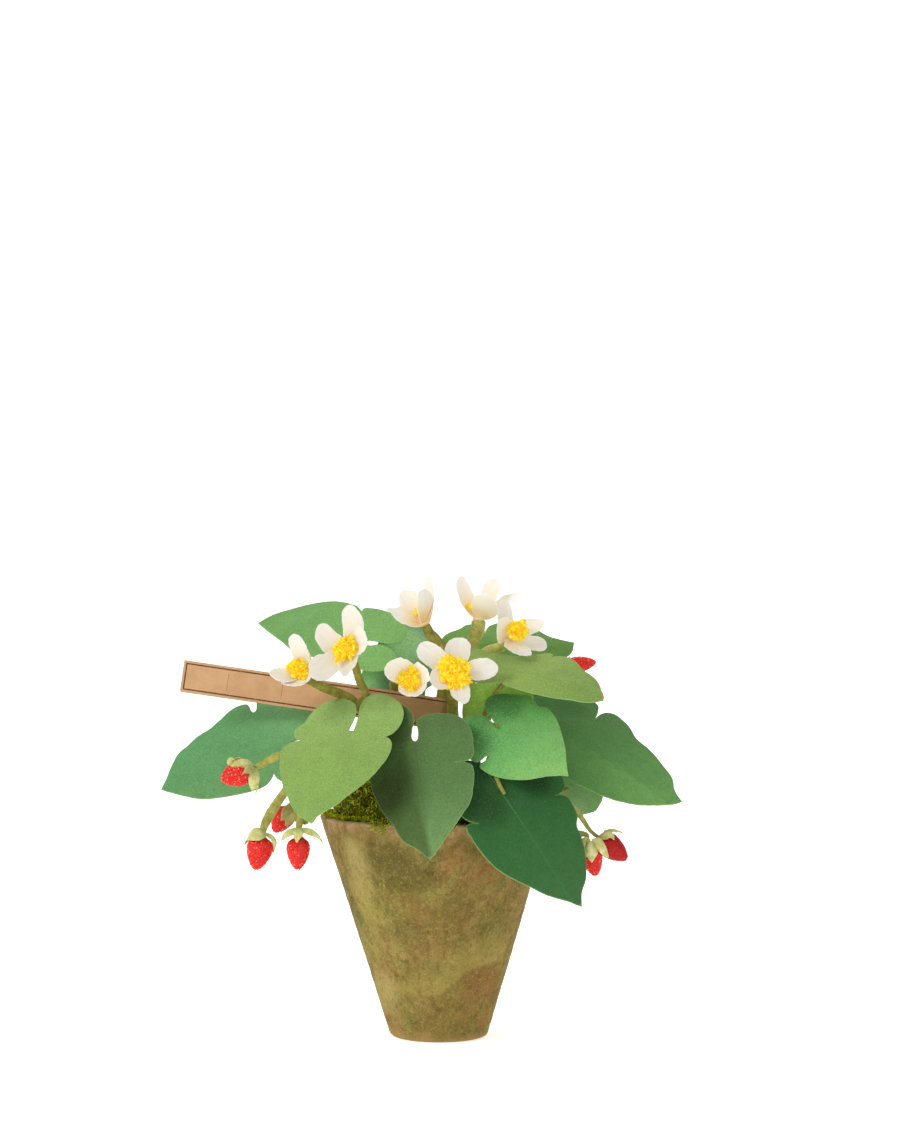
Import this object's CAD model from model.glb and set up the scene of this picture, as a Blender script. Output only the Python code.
# A handmade paper strawberry plant in an aged clay pot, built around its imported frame.
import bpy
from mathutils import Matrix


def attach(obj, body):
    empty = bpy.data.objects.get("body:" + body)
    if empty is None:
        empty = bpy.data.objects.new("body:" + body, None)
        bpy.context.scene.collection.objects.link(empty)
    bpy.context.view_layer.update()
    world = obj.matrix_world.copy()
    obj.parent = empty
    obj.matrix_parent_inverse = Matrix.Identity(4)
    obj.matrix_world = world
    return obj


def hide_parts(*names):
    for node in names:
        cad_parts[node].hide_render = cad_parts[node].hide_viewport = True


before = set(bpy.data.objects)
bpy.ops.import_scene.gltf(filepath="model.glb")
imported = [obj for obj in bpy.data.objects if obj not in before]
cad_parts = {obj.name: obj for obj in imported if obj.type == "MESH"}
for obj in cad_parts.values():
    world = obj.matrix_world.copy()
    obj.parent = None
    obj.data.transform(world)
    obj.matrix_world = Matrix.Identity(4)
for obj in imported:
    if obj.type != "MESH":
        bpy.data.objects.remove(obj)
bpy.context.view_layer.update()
import math
import bpy
import bmesh
import numpy as np
from mathutils import Vector, Matrix, noise
from mathutils.geometry import delaunay_2d_cdt

MM = 0.001
rng = np.random.default_rng(7)

# ---- shared measurements, millimetres ------------------------------------------
POT_HEIGHT = 114.0
POT_RIM = 60.0
POT_BASE = 24.9
POT_FOOT = 3.2
POT_WALL = 4.8
POT_FLOOR = 8.0
POT_LEAN = -0.0139
CARD = 0.5
PETAL = 0.45
PETAL_CUP = 1.0
PETAL_BELLY = 1.3
LABEL_LENGTH = 134.0
LABEL_HEIGHT = 16.3
LABEL_LOOP = 4.2
LABEL_LAYERS = 1.0
LABEL_MIDDLE = [0.16, -1.0, 166.32]
LABEL_TILT = 0.1458
LABEL_DIP = 0.3
LABEL_DIVIDERS = (-110.2, -82.0)
LEAVES = {
    "leaf_front_left": dict(at=[-44.12, -45.0, 159.55], along=[-0.2834, -0.6878, -0.6683], normal=[-0.2896, -0.603, 0.7433], bend=4, fold=-1.2, cup=-1.5, length=58.8, seed=35.62,
        outline=[(58.82, -2.72), (53.71, -11.67), (47.83, -17.64), (41.43, -22.16), (33.71, -27.55), (25.82, -32.11), (17.15, -35.67), (6.42, -37.78), (3.86, -35.37), (2.91, -31.15), (2.91, -26.61), (1.51, -31.08), (-1.64, -34.26), (-5.58, -35.8), (-7.88, -34.74), (-9.8, -31.8), (-14.74, -30.68), (-19.58, -28.31), (-24.17, -22.83), (-25.35, -14.93), (-22.82, -8.14), (-18.63, -3.72), (-15.17, -2.31), (-11.06, -1.48), (-6.71, -1.54), (-1.03, -1.88), (-0.41, 1.17), (-6.29, 0.73), (-11.7, 0.05), (-18.45, -1.37), (-23.85, -0.74), (-26.77, 1.31), (-28.06, 5.25), (-27.29, 10.95), (-24.56, 16.15), (-20.27, 20.73), (-14.72, 23.24), (-9.02, 24.03), (-3.87, 23.03), (-0.02, 20.83), (2.17, 18.0), (2.39, 20.53), (4.87, 22.97), (8.47, 24.06), (14.55, 23.98), (21.43, 22.17), (29.93, 19.01), (36.1, 15.12), (39.85, 12.06), (43.44, 9.46), (47.99, 6.08), (52.54, 1.08), (55.2, -1.25), (57.66, -2.09)],
        corners=[1, 0, 0, 0, 0, 0, 0, 0, 0, 0, 1, 1, 0, 0, 0, 0, 0, 0, 0, 0, 0, 0, 0, 0, 0, 1, 1, 0, 0, 0, 0, 0, 0, 0, 0, 0, 0, 0, 0, 0, 1, 0, 0, 0, 0, 0, 0, 0, 0, 0, 0, 0, 0, 0]),
    "leaf_front_center": dict(at=[-12.33, -47.0, 155.02], along=[0.1207, -0.4672, -0.8759], normal=[-0.1948, -0.8763, 0.4406], bend=6, fold=-2.5, cup=0.0, length=61.6, seed=63.02,
        outline=[(61.62, -0.99), (56.14, -5.66), (48.47, -13.76), (40.9, -16.76), (35.31, -20.12), (27.57, -23.21), (18.62, -25.17), (13.5, -25.57), (7.41, -26.15), (2.56, -25.84), (-0.94, -23.32), (-1.26, -19.06), (-4.04, -23.5), (-9.05, -25.61), (-15.62, -24.66), (-20.89, -20.67), (-23.06, -14.61), (-22.49, -8.29), (-20.26, -2.96), (-15.42, 0.31), (-11.08, 0.8), (-6.05, -0.64), (-2.57, -1.21), (-0.54, -0.83), (0.34, 0.06), (-0.15, 1.07), (-1.95, 1.89), (-5.49, 2.35), (-10.55, 2.26), (-12.44, 4.44), (-13.18, 12.71), (-11.33, 20.23), (-8.13, 25.15), (-4.32, 27.45), (-0.52, 28.64), (6.47, 28.74), (11.94, 28.11), (14.13, 26.06), (14.86, 22.96), (14.62, 18.49), (15.7, 23.85), (17.32, 26.63), (20.83, 26.99), (28.99, 25.47), (34.91, 23.61), (42.23, 18.03), (50.17, 10.56), (59.28, 1.7)],
        corners=[1, 0, 0, 0, 0, 0, 0, 0, 0, 0, 0, 1, 0, 0, 0, 0, 0, 0, 0, 0, 0, 0, 0, 0, 0, 0, 0, 0, 0, 0, 0, 0, 0, 0, 0, 0, 0, 0, 0, 1, 0, 0, 0, 0, 0, 0, 0, 0]),
    "leaf_right_small": dict(at=[29.98, -36.0, 160.75], along=[0.7486, -0.439, -0.4969], normal=[0.0035, -0.7468, 0.665], bend=3, fold=-1.0, cup=-2.0, length=44.8, seed=38.36,
        outline=[(-11.1, -14.6), (-15.68, -10.52), (-17.06, -6.27), (-15.33, -1.72), (-11.49, 0.95), (-6.02, 0.81), (-0.0, 0.0), (-6.62, 2.35), (-12.7, 4.91), (-15.93, 7.56), (-17.59, 11.35), (-16.7, 15.79), (-14.11, 19.84), (-10.71, 22.95), (-6.81, 26.28), (-4.47, 28.74), (-0.27, 27.64), (4.62, 26.17), (8.13, 28.35), (16.04, 26.0), (23.37, 20.89), (32.48, 13.53), (39.93, 5.71), (44.78, 1.05), (40.59, -2.72), (37.11, -6.3), (32.74, -11.89), (27.84, -16.54), (22.06, -20.32), (15.38, -23.07), (9.83, -23.73), (7.49, -23.25), (6.79, -21.53), (7.4, -19.34), (7.73, -16.61), (7.13, -15.76), (6.35, -16.31), (5.89, -19.13), (5.32, -21.22), (4.16, -22.46), (1.31, -22.69), (-4.09, -20.31)],
        corners=[0, 0, 0, 0, 0, 0, 1, 0, 0, 0, 0, 0, 0, 0, 0, 0, 0, 1, 0, 0, 0, 0, 0, 1, 0, 0, 0, 0, 0, 0, 0, 0, 0, 0, 0, 0, 0, 0, 0, 0, 0, 0]),
    "leaf_lower_right": dict(at=[29.54, -51.0, 131.66], along=[0.5587, -0.2888, -0.7775], normal=[0.2431, -0.8392, 0.4864], bend=5, fold=-1.5, cup=-0.5, length=71.4, seed=60.28,
        outline=[(-5.11, -21.38), (-0.48, -23.98), (4.28, -24.22), (7.72, -22.33), (10.58, -19.65), (8.33, -23.35), (8.7, -25.79), (10.79, -26.55), (14.81, -26.86), (21.99, -26.8), (32.47, -24.92), (42.7, -20.17), (49.93, -15.06), (57.28, -10.0), (65.02, -2.44), (71.4, 3.73), (65.89, 7.09), (60.63, 13.7), (52.0, 19.85), (42.19, 24.47), (34.6, 26.46), (32.22, 28.83), (26.04, 30.45), (21.51, 30.45), (18.81, 28.75), (17.14, 25.01), (17.04, 29.4), (15.46, 32.5), (11.98, 34.25), (6.33, 34.14), (0.02, 30.82), (-6.39, 22.25), (-8.64, 12.66), (-5.75, 5.89), (0.0, 0.0), (-6.64, 2.31), (-11.79, 2.76), (-15.08, 1.11), (-17.27, -0.79), (-19.76, -3.68), (-22.27, -7.46), (-22.29, -11.47), (-17.5, -15.78), (-10.3, -19.61)],
        corners=[0, 0, 0, 0, 1, 0, 0, 0, 0, 0, 0, 0, 0, 0, 0, 1, 0, 0, 0, 0, 0, 0, 0, 0, 0, 1, 0, 0, 0, 0, 0, 0, 0, 0, 1, 0, 0, 0, 0, 0, 0, 0, 0, 0]),
    "leaf_right_large": dict(at=[62.29, -4.0, 157.96], along=[0.8501, -0.1924, -0.4902], normal=[0.2831, -0.6178, 0.7336], bend=5, fold=-2.0, cup=-1.0, length=71.9, seed=19.18,
        outline=[(71.87, 9.36), (69.49, 3.37), (62.12, -6.0), (54.57, -13.26), (45.66, -19.21), (37.74, -22.35), (28.59, -24.29), (22.29, -25.3), (17.25, -24.89), (13.36, -22.15), (13.19, -16.18), (10.1, -21.65), (4.22, -24.05), (-2.99, -21.73), (-8.26, -15.17), (-9.33, -7.46), (-6.11, -2.13), (-0.0, 0.0), (-8.14, 0.8), (-16.48, 3.45), (-22.49, 8.94), (-24.76, 18.28), (-21.43, 26.0), (-14.48, 29.58), (-6.52, 36.93), (1.33, 40.32), (6.56, 38.91), (9.23, 32.75), (10.55, 24.49), (11.31, 33.25), (13.04, 37.18), (17.4, 40.02), (22.21, 39.19), (27.42, 36.72), (34.05, 31.01), (42.57, 29.56), (52.14, 25.6), (60.34, 21.1), (66.59, 12.14)],
        corners=[1, 0, 0, 0, 0, 0, 0, 0, 0, 0, 1, 0, 0, 0, 0, 0, 0, 1, 0, 0, 0, 0, 0, 0, 0, 0, 0, 0, 1, 0, 0, 0, 0, 0, 0, 0, 0, 0, 0]),
    "leaf_right_under": dict(at=[59.88, -12.0, 138.71], along=[0.0581, -0.537, -0.8416], normal=[0.4457, -0.7404, 0.5032], bend=2, fold=-1.0, cup=0.0, length=36.8, seed=45.21,
        outline=[(10.93, 27.25), (16.33, 24.67), (20.32, 21.76), (22.25, 17.73), (24.07, 13.38), (27.47, 8.31), (32.21, 4.07), (36.79, 0.46), (31.42, -4.26), (23.16, -8.75), (14.64, -12.06), (6.62, -11.98), (0.19, -8.02), (-3.65, -2.53), (-0.0, 0.0), (-6.14, 4.2), (-7.83, 12.21), (-4.97, 21.0), (2.12, 26.33)],
        corners=[0, 0, 0, 0, 0, 0, 0, 1, 0, 0, 0, 0, 0, 0, 1, 0, 0, 0, 0]),
    "leaf_upper_right": dict(at=[28.06, -14.0, 190.05], along=[0.925, -0.3715, -0.0798], normal=[-0.091, -0.4205, 0.9027], bend=12, fold=-1.5, cup=-1.0, length=58.9, seed=64.39,
        outline=[(58.86, -1.32), (53.96, -7.02), (44.55, -11.05), (33.53, -14.12), (24.22, -15.33), (16.5, -14.33), (11.44, -13.4), (7.43, -11.27), (3.84, -13.32), (-0.09, -14.45), (-8.75, -11.83), (-15.65, -5.42), (-17.02, -0.44), (-11.39, 0.86), (-2.75, -1.47), (2.91, -3.41), (-5.45, 4.14), (-15.08, 7.37), (-25.62, 15.29), (-30.45, 25.65), (-25.69, 29.49), (-14.76, 23.57), (-5.04, 19.84), (3.75, 19.06), (10.88, 21.45), (15.75, 26.67), (20.61, 29.08), (22.38, 20.45), (23.11, 25.94), (25.71, 28.83), (31.06, 29.48), (40.89, 20.87), (50.54, 13.88), (56.04, 4.69)],
        corners=[1, 0, 0, 0, 0, 0, 0, 1, 0, 0, 0, 0, 0, 0, 0, 1, 0, 0, 0, 0, 0, 0, 0, 0, 0, 0, 0, 1, 0, 0, 0, 0, 0, 0]),
    "leaf_back_right": dict(at=[20.67, 42.0, 200.21], along=[0.9307, 0.3577, 0.0765], normal=[0.1352, -0.5309, 0.8366], bend=6, fold=-1.5, cup=-1.0, length=58.0, seed=117.82,
        outline=[(-16.12, 10.97), (-3.49, 18.16), (3.58, 22.4), (9.52, 21.17), (8.41, 11.07), (13.33, 18.37), (20.28, 22.06), (30.43, 21.5), (40.93, 13.83), (45.04, 7.61), (50.79, 4.43), (58.04, 2.11), (50.76, -9.15), (40.09, -14.7), (24.92, -17.11), (14.38, -14.12), (12.5, -9.88), (7.37, -14.3), (-2.25, -15.5), (-10.02, -11.82), (-11.02, -6.7), (-6.27, -4.6), (-1.35, -3.67), (-7.84, -2.63), (-15.43, -1.6), (-18.43, 4.05)],
        corners=[0, 0, 0, 0, 1, 0, 0, 0, 0, 0, 0, 1, 0, 0, 0, 0, 1, 0, 0, 0, 0, 0, 1, 0, 0, 0]),
    "leaf_mid_light": dict(at=[31.02, 4.0, 177.97], along=[-0.3444, -0.3121, -0.8854], normal=[-0.1497, -0.9128, 0.38], bend=2, fold=-1.0, cup=0.0, length=31.9, seed=123.3,
        outline=[(31.88, -0.14), (26.12, -9.21), (19.95, -13.26), (12.09, -15.64), (5.9, -16.07), (-1.03, -12.15), (-4.77, -7.34), (-6.23, -3.39), (-7.44, 0.64), (-7.92, 6.55), (-6.39, 14.28), (-2.03, 18.58), (3.56, 17.26), (7.61, 11.0), (9.02, 4.89), (11.84, 1.49), (15.32, 0.42), (19.04, 1.21), (25.73, 1.51)],
        corners=[1, 0, 0, 0, 0, 0, 0, 0, 0, 0, 0, 0, 0, 0, 0, 0, 0, 0, 0]),
    "leaf_upper_left": dict(at=[-38.43, 12.0, 203.69], along=[-0.9107, 0.3784, 0.1655], normal=[-0.1233, -0.6315, 0.7655], bend=6, fold=-1.5, cup=-1.0, length=67.4, seed=39.73,
        outline=[(67.35, -4.94), (62.7, -12.25), (55.03, -18.31), (45.22, -25.15), (32.65, -29.16), (23.24, -28.7), (17.62, -27.02), (13.16, -23.1), (13.25, -25.99), (9.76, -27.34), (-0.9, -26.56), (-8.52, -23.71), (-15.69, -17.18), (-18.45, -9.86), (-17.55, -3.67), (-12.75, -1.05), (-5.66, -0.86), (-0.93, 0.14), (-0.85, 1.9), (-3.32, 2.91), (-7.58, 1.22), (-15.53, 2.39), (-20.15, 6.11), (-20.76, 11.73), (-18.0, 16.86), (-11.81, 19.59), (-4.14, 19.01), (2.36, 16.03), (6.59, 13.06), (7.67, 15.81), (14.21, 16.81), (24.92, 16.57), (37.65, 13.63), (43.3, 10.19), (54.44, 3.67)],
        corners=[1, 0, 0, 0, 0, 0, 0, 1, 0, 0, 0, 0, 0, 0, 0, 0, 0, 0, 1, 0, 0, 0, 0, 0, 0, 0, 0, 0, 1, 0, 0, 0, 0, 0, 0]),
    "leaf_back_center": dict(at=[-7.93, 14.0, 177.52], along=[-0.7991, 0.2861, 0.5288], normal=[0.0709, -0.8285, 0.5554], bend=1, fold=-1.0, cup=0.0, length=37.2, seed=120.56,
        outline=[(34.2, -30.58), (35.81, -21.23), (37.2, -12.54), (36.31, -7.45), (35.07, -0.18), (34.23, 6.91), (30.6, 13.32), (23.06, 19.66), (14.13, 21.02), (3.69, 15.83), (-2.22, 8.13), (-2.72, 3.17), (-0.43, -1.17), (-1.16, -5.45), (1.79, -16.47), (5.39, -26.66), (15.51, -33.16), (25.12, -32.67)],
        corners=[0, 0, 0, 0, 0, 0, 0, 0, 0, 0, 0, 0, 0, 0, 0, 0, 0, 0]),
    "leaf_left": dict(at=[-77.81, -6.0, 151.68], along=[-0.9347, -0.0867, -0.3448], normal=[-0.1559, -0.7718, 0.6164], bend=5, fold=-3.0, cup=0.0, length=69.6, seed=78.09,
        outline=[(69.59, -5.54), (64.63, -11.53), (60.21, -17.68), (54.78, -23.28), (48.53, -25.81), (42.9, -28.83), (35.72, -30.0), (28.79, -32.92), (22.42, -36.3), (17.4, -37.19), (12.96, -35.89), (12.22, -33.22), (12.16, -30.54), (11.29, -28.74), (9.95, -29.17), (8.77, -31.88), (7.47, -35.08), (5.06, -36.13), (-2.62, -35.63), (-11.09, -32.12), (-18.1, -25.58), (-20.34, -15.96), (-16.12, -4.9), (-8.59, 0.47), (0.0, 0.0), (-6.15, 2.92), (-9.57, 9.05), (-8.33, 16.05), (-3.0, 20.66), (2.93, 22.16), (9.38, 20.26), (11.71, 17.36), (12.48, 14.03), (14.42, 16.44), (17.96, 18.54), (25.95, 18.58), (34.8, 16.9), (43.37, 14.48), (51.27, 11.17), (58.4, 5.92), (64.29, 0.51)],
        corners=[1, 0, 0, 0, 0, 0, 0, 0, 0, 0, 0, 0, 0, 0, 0, 0, 0, 0, 0, 0, 0, 0, 0, 0, 1, 0, 0, 0, 0, 0, 0, 0, 1, 0, 0, 0, 0, 0, 0, 0, 0]),
    "leaf_rear_left": dict(at=[-40.0, 38.0, 151.0], along=[-0.6606, 0.6006, -0.4504], normal=[-0.2654, 0.3744, 0.8885], bend=6, fold=-1.5, cup=-0.5, length=61.4, seed=127.41,
        outline=[(-4.4, -20.3), (-0.41, -22.53), (3.68, -22.74), (6.64, -21.11), (9.1, -18.81), (7.17, -21.99), (7.48, -24.09), (9.28, -24.74), (12.74, -25.0), (18.91, -24.96), (27.92, -23.34), (36.72, -19.26), (42.94, -14.86), (49.26, -10.51), (55.92, -4.01), (61.4, 1.3), (56.67, 4.19), (52.15, 9.87), (44.72, 15.16), (36.29, 19.13), (29.76, 20.84), (27.71, 22.88), (22.4, 24.28), (18.5, 24.28), (16.18, 22.82), (14.74, 19.6), (14.66, 23.37), (13.29, 26.04), (10.3, 27.55), (5.44, 27.45), (0.01, 24.59), (-5.5, 17.23), (-7.43, 8.98), (-4.94, 3.16), (0.0, -1.91), (-5.71, 0.08), (-10.14, 0.46), (-12.97, -0.95), (-14.86, -2.59), (-16.99, -5.07), (-19.15, -8.33), (-19.17, -11.77), (-15.05, -15.48), (-8.86, -18.77)],
        corners=[0, 0, 0, 0, 1, 0, 0, 0, 0, 0, 0, 0, 0, 0, 0, 1, 0, 0, 0, 0, 0, 0, 0, 0, 0, 1, 0, 0, 0, 0, 0, 0, 0, 0, 1, 0, 0, 0, 0, 0, 0, 0, 0, 0]),
    "leaf_rear_center": dict(at=[-8.0, 55.0, 137.0], along=[-0.1003, 0.7425, -0.6623], normal=[-0.0553, 0.6604, 0.7489], bend=6, fold=-1.5, cup=-0.5, length=65.7, seed=21.92,
        outline=[(-9.48, 20.08), (-16.1, 16.56), (-20.5, 12.59), (-20.49, 8.91), (-18.18, 5.43), (-15.89, 2.77), (-13.87, 1.02), (-10.85, -0.5), (-6.11, -0.08), (0.0, 2.04), (-5.29, -3.38), (-7.95, -9.6), (-5.88, -18.43), (0.02, -26.31), (5.82, -29.37), (11.02, -29.47), (14.22, -27.86), (15.68, -25.01), (15.76, -20.97), (17.3, -24.41), (19.79, -25.97), (23.96, -25.97), (29.65, -24.48), (31.84, -22.3), (38.82, -20.47), (47.84, -16.22), (55.78, -10.56), (60.62, -4.48), (65.69, -1.39), (59.82, 4.29), (52.7, 11.24), (45.94, 15.89), (39.28, 20.6), (29.87, 24.97), (20.23, 26.7), (13.63, 26.75), (9.93, 26.46), (8.01, 25.77), (7.66, 23.52), (9.73, 20.12), (7.11, 22.58), (3.94, 24.33), (-0.44, 24.1), (-4.71, 21.72)],
        corners=[0, 0, 0, 0, 0, 0, 0, 0, 0, 1, 0, 0, 0, 0, 0, 0, 0, 0, 1, 0, 0, 0, 0, 0, 0, 0, 0, 0, 1, 0, 0, 0, 0, 0, 0, 0, 0, 0, 0, 1, 0, 0, 0, 0]),
    "leaf_rear_right": dict(at=[38.0, 37.0, 152.0], along=[0.7199, 0.5199, -0.4599], normal=[0.255, 0.4182, 0.8718], bend=6, fold=-1.5, cup=-0.5, length=61.4, seed=19.18,
        outline=[(-8.86, 18.77), (-15.05, 15.48), (-19.17, 11.77), (-19.15, 8.33), (-16.99, 5.07), (-14.86, 2.59), (-12.97, 0.95), (-10.14, -0.46), (-5.71, -0.08), (0.0, 1.91), (-4.94, -3.16), (-7.43, -8.98), (-5.5, -17.23), (0.01, -24.59), (5.44, -27.45), (10.3, -27.55), (13.29, -26.04), (14.66, -23.37), (14.74, -19.6), (16.18, -22.82), (18.5, -24.28), (22.4, -24.28), (27.71, -22.88), (29.76, -20.84), (36.29, -19.13), (44.72, -15.16), (52.15, -9.87), (56.67, -4.19), (61.4, -1.3), (55.92, 4.01), (49.26, 10.51), (42.94, 14.86), (36.72, 19.26), (27.92, 23.34), (18.91, 24.96), (12.74, 25.0), (9.28, 24.74), (7.48, 24.09), (7.17, 21.99), (9.1, 18.81), (6.64, 21.11), (3.68, 22.74), (-0.41, 22.53), (-4.4, 20.3)],
        corners=[0, 0, 0, 0, 0, 0, 0, 0, 0, 1, 0, 0, 0, 0, 0, 0, 0, 0, 1, 0, 0, 0, 0, 0, 0, 0, 0, 0, 1, 0, 0, 0, 0, 0, 0, 0, 0, 0, 0, 1, 0, 0, 0, 0]),
    "leaf_rear_low": dict(at=[16.0, 54.0, 129.0], along=[0.2512, 0.7234, -0.6431], normal=[0.2034, 0.6101, 0.7658], bend=6, fold=-1.5, cup=-0.5, length=50.0, seed=5.48,
        outline=[(-3.58, -16.52), (-0.34, -18.34), (3.0, -18.51), (5.41, -17.18), (7.4, -15.31), (5.83, -17.9), (6.09, -19.61), (7.55, -20.14), (10.37, -20.35), (15.39, -20.31), (22.73, -19.0), (29.89, -15.68), (34.95, -12.09), (40.1, -8.55), (45.52, -3.26), (49.98, 1.06), (46.12, 3.41), (42.44, 8.03), (36.4, 12.34), (29.54, 15.57), (24.22, 16.97), (22.56, 18.63), (18.23, 19.76), (15.06, 19.76), (13.17, 18.57), (11.99, 15.95), (11.93, 19.03), (10.82, 21.19), (8.38, 22.42), (4.43, 22.34), (0.01, 20.02), (-4.47, 14.02), (-6.05, 7.31), (-4.02, 2.57), (0.0, -1.55), (-4.65, 0.06), (-8.26, 0.38), (-10.55, -0.78), (-12.09, -2.11), (-13.83, -4.13), (-15.59, -6.78), (-15.6, -9.58), (-12.25, -12.6), (-7.21, -15.28)],
        corners=[0, 0, 0, 0, 1, 0, 0, 0, 0, 0, 0, 0, 0, 0, 0, 1, 0, 0, 0, 0, 0, 0, 0, 0, 0, 1, 0, 0, 0, 0, 0, 0, 0, 0, 1, 0, 0, 0, 0, 0, 0, 0, 0, 0]),
}
LOOKS = {
    "leaf_front_left": dict(base=(150, 184, 102), middle=(137, 171, 86), tip=(136, 173, 87), left=(255, 255, 255), right=(255, 255, 255), wash=(153, 191, 96), rib=0.3, rib_color=(118, 156, 80), under=(143, 173, 97), edge=(150, 182, 112), soft=1.4, loose=4.0, glaze=[]),
    "leaf_front_center": dict(base=(86, 113, 62), middle=(89, 125, 70), tip=(120, 157, 97), left=(255, 253, 253), right=(191, 186, 166), wash=(99, 140, 78), rib=0.25, rib_color=(56, 80, 42), under=(100, 132, 83), edge=(150, 182, 112), soft=1.8, loose=6.5, glaze=[(23.6, -16.9, 18, (59, 76, 31), 0.8), (2.3, -22.6, 14, (70, 89, 39), 0.65)]),
    "leaf_right_small": dict(base=(83, 141, 76), middle=(112, 177, 97), tip=(161, 210, 118), left=(255, 255, 255), right=(255, 255, 255), wash=(125, 198, 108), rib=0.12, rib_color=(62, 122, 64), under=(120, 179, 107), edge=(150, 182, 112), soft=1.4, loose=4.0, glaze=[(-6.3, 14.6, 14, (63, 118, 58), 0.85), (-14.8, 12.1, 9, (65, 120, 58), 0.6), (-4.0, -14.4, 14, (65, 123, 62), 0.6), (-9.5, -14.1, 8, (50, 102, 48), 0.7), (26.9, 4.2, 13, (128, 190, 104), 0.5)]),
    "leaf_lower_right": dict(base=(41, 85, 43), middle=(50, 103, 50), tip=(70, 116, 66), left=(255, 255, 255), right=(255, 255, 255), wash=(56, 115, 56), rib=0.42, rib_color=(92, 146, 86), under=(65, 112, 65), edge=(150, 182, 112), soft=1.4, loose=4.0, glaze=[(4.2, -11.9, 17, (28, 64, 22), 0.8), (3.3, 20.2, 15, (21, 59, 24), 0.85), (-16.2, -6.2, 16, (24, 61, 26), 0.85)]),
    "leaf_right_large": dict(base=(74, 119, 62), middle=(97, 147, 77), tip=(126, 181, 95), left=(231, 241, 234), right=(255, 255, 255), wash=(108, 164, 86), rib=0.16, rib_color=(58, 100, 50), under=(107, 152, 89), edge=(150, 182, 112), soft=1.4, loose=4.0, glaze=[(-4.1, 23.5, 12, (58, 99, 49), 0.6)]),
    "leaf_right_under": dict(base=(138, 171, 114), middle=(147, 183, 126), tip=(153, 189, 129), left=(255, 255, 255), right=(255, 255, 255), wash=(164, 204, 141), rib=0.3, rib_color=(60, 90, 50), under=(152, 184, 133), edge=(150, 182, 112), soft=1.4, loose=4.0, glaze=[]),
    "leaf_upper_right": dict(base=(131, 160, 75), middle=(144, 173, 85), tip=(119, 154, 71), left=(255, 255, 255), right=(255, 255, 255), wash=(161, 193, 95), rib=0.3, rib_color=(96, 128, 62), under=(149, 175, 96), edge=(150, 182, 112), soft=1.4, loose=4.0, glaze=[]),
    "leaf_back_right": dict(base=(112, 156, 74), middle=(110, 156, 72), tip=(100, 148, 66), left=(255, 255, 255), right=(255, 255, 255), wash=(123, 174, 80), rib=0.35, rib_color=(60, 90, 50), under=(119, 160, 84), edge=(150, 182, 112), soft=1.4, loose=4.0, glaze=[]),
    "leaf_mid_light": dict(base=(160, 199, 96), middle=(155, 195, 90), tip=(145, 186, 84), left=(255, 255, 255), right=(255, 255, 255), wash=(173, 218, 100), rib=0.25, rib_color=(60, 90, 50), under=(159, 195, 101), edge=(150, 182, 112), soft=1.4, loose=4.0, glaze=[]),
    "leaf_upper_left": dict(base=(137, 188, 107), middle=(121, 172, 97), tip=(107, 160, 86), left=(255, 255, 255), right=(255, 255, 255), wash=(135, 192, 108), rib=0.35, rib_color=(90, 140, 76), under=(128, 174, 107), edge=(150, 182, 112), soft=1.4, loose=4.0, glaze=[]),
    "leaf_back_center": dict(base=(121, 167, 124), middle=(105, 153, 114), tip=(100, 146, 102), left=(255, 255, 255), right=(255, 255, 255), wash=(117, 171, 127), rib=0.25, rib_color=(60, 90, 50), under=(114, 157, 122), edge=(150, 182, 112), soft=1.4, loose=4.0, glaze=[(28.2, 13.0, 14, (170, 226, 160), 0.8), (22.3, -17.4, 16, (190, 240, 176), 0.9), (30.3, -17.5, 12, (190, 240, 176), 0.7)]),
    "leaf_left": dict(base=(136, 187, 128), middle=(104, 158, 99), tip=(99, 150, 93), left=(255, 255, 255), right=(243, 255, 255), wash=(116, 176, 110), rib=0.18, rib_color=(60, 118, 72), under=(113, 162, 109), edge=(150, 182, 112), soft=1.4, loose=4.0, glaze=[]),
    "leaf_rear_left": dict(base=(100, 150, 88), middle=(104, 156, 90), tip=(110, 164, 94), left=(255, 255, 255), right=(255, 255, 255), wash=(116, 174, 100), rib=0.5, rib_color=(60, 90, 50), under=(113, 160, 101), edge=(150, 182, 112), soft=1.4, loose=4.0, glaze=[]),
    "leaf_rear_center": dict(base=(88, 142, 78), middle=(92, 148, 82), tip=(98, 154, 86), left=(255, 255, 255), right=(255, 255, 255), wash=(103, 165, 91), rib=0.5, rib_color=(60, 90, 50), under=(102, 153, 93), edge=(150, 182, 112), soft=1.4, loose=4.0, glaze=[]),
    "leaf_rear_right": dict(base=(112, 158, 86), middle=(114, 162, 88), tip=(108, 154, 82), left=(255, 255, 255), right=(255, 255, 255), wash=(127, 181, 98), rib=0.5, rib_color=(60, 90, 50), under=(122, 165, 99), edge=(150, 182, 112), soft=1.4, loose=4.0, glaze=[]),
    "leaf_rear_low": dict(base=(74, 128, 66), middle=(78, 134, 70), tip=(84, 140, 74), left=(255, 255, 255), right=(255, 255, 255), wash=(87, 150, 78), rib=0.5, rib_color=(60, 90, 50), under=(90, 140, 83), edge=(150, 182, 112), soft=1.4, loose=4.0, glaze=[]),
}
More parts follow.
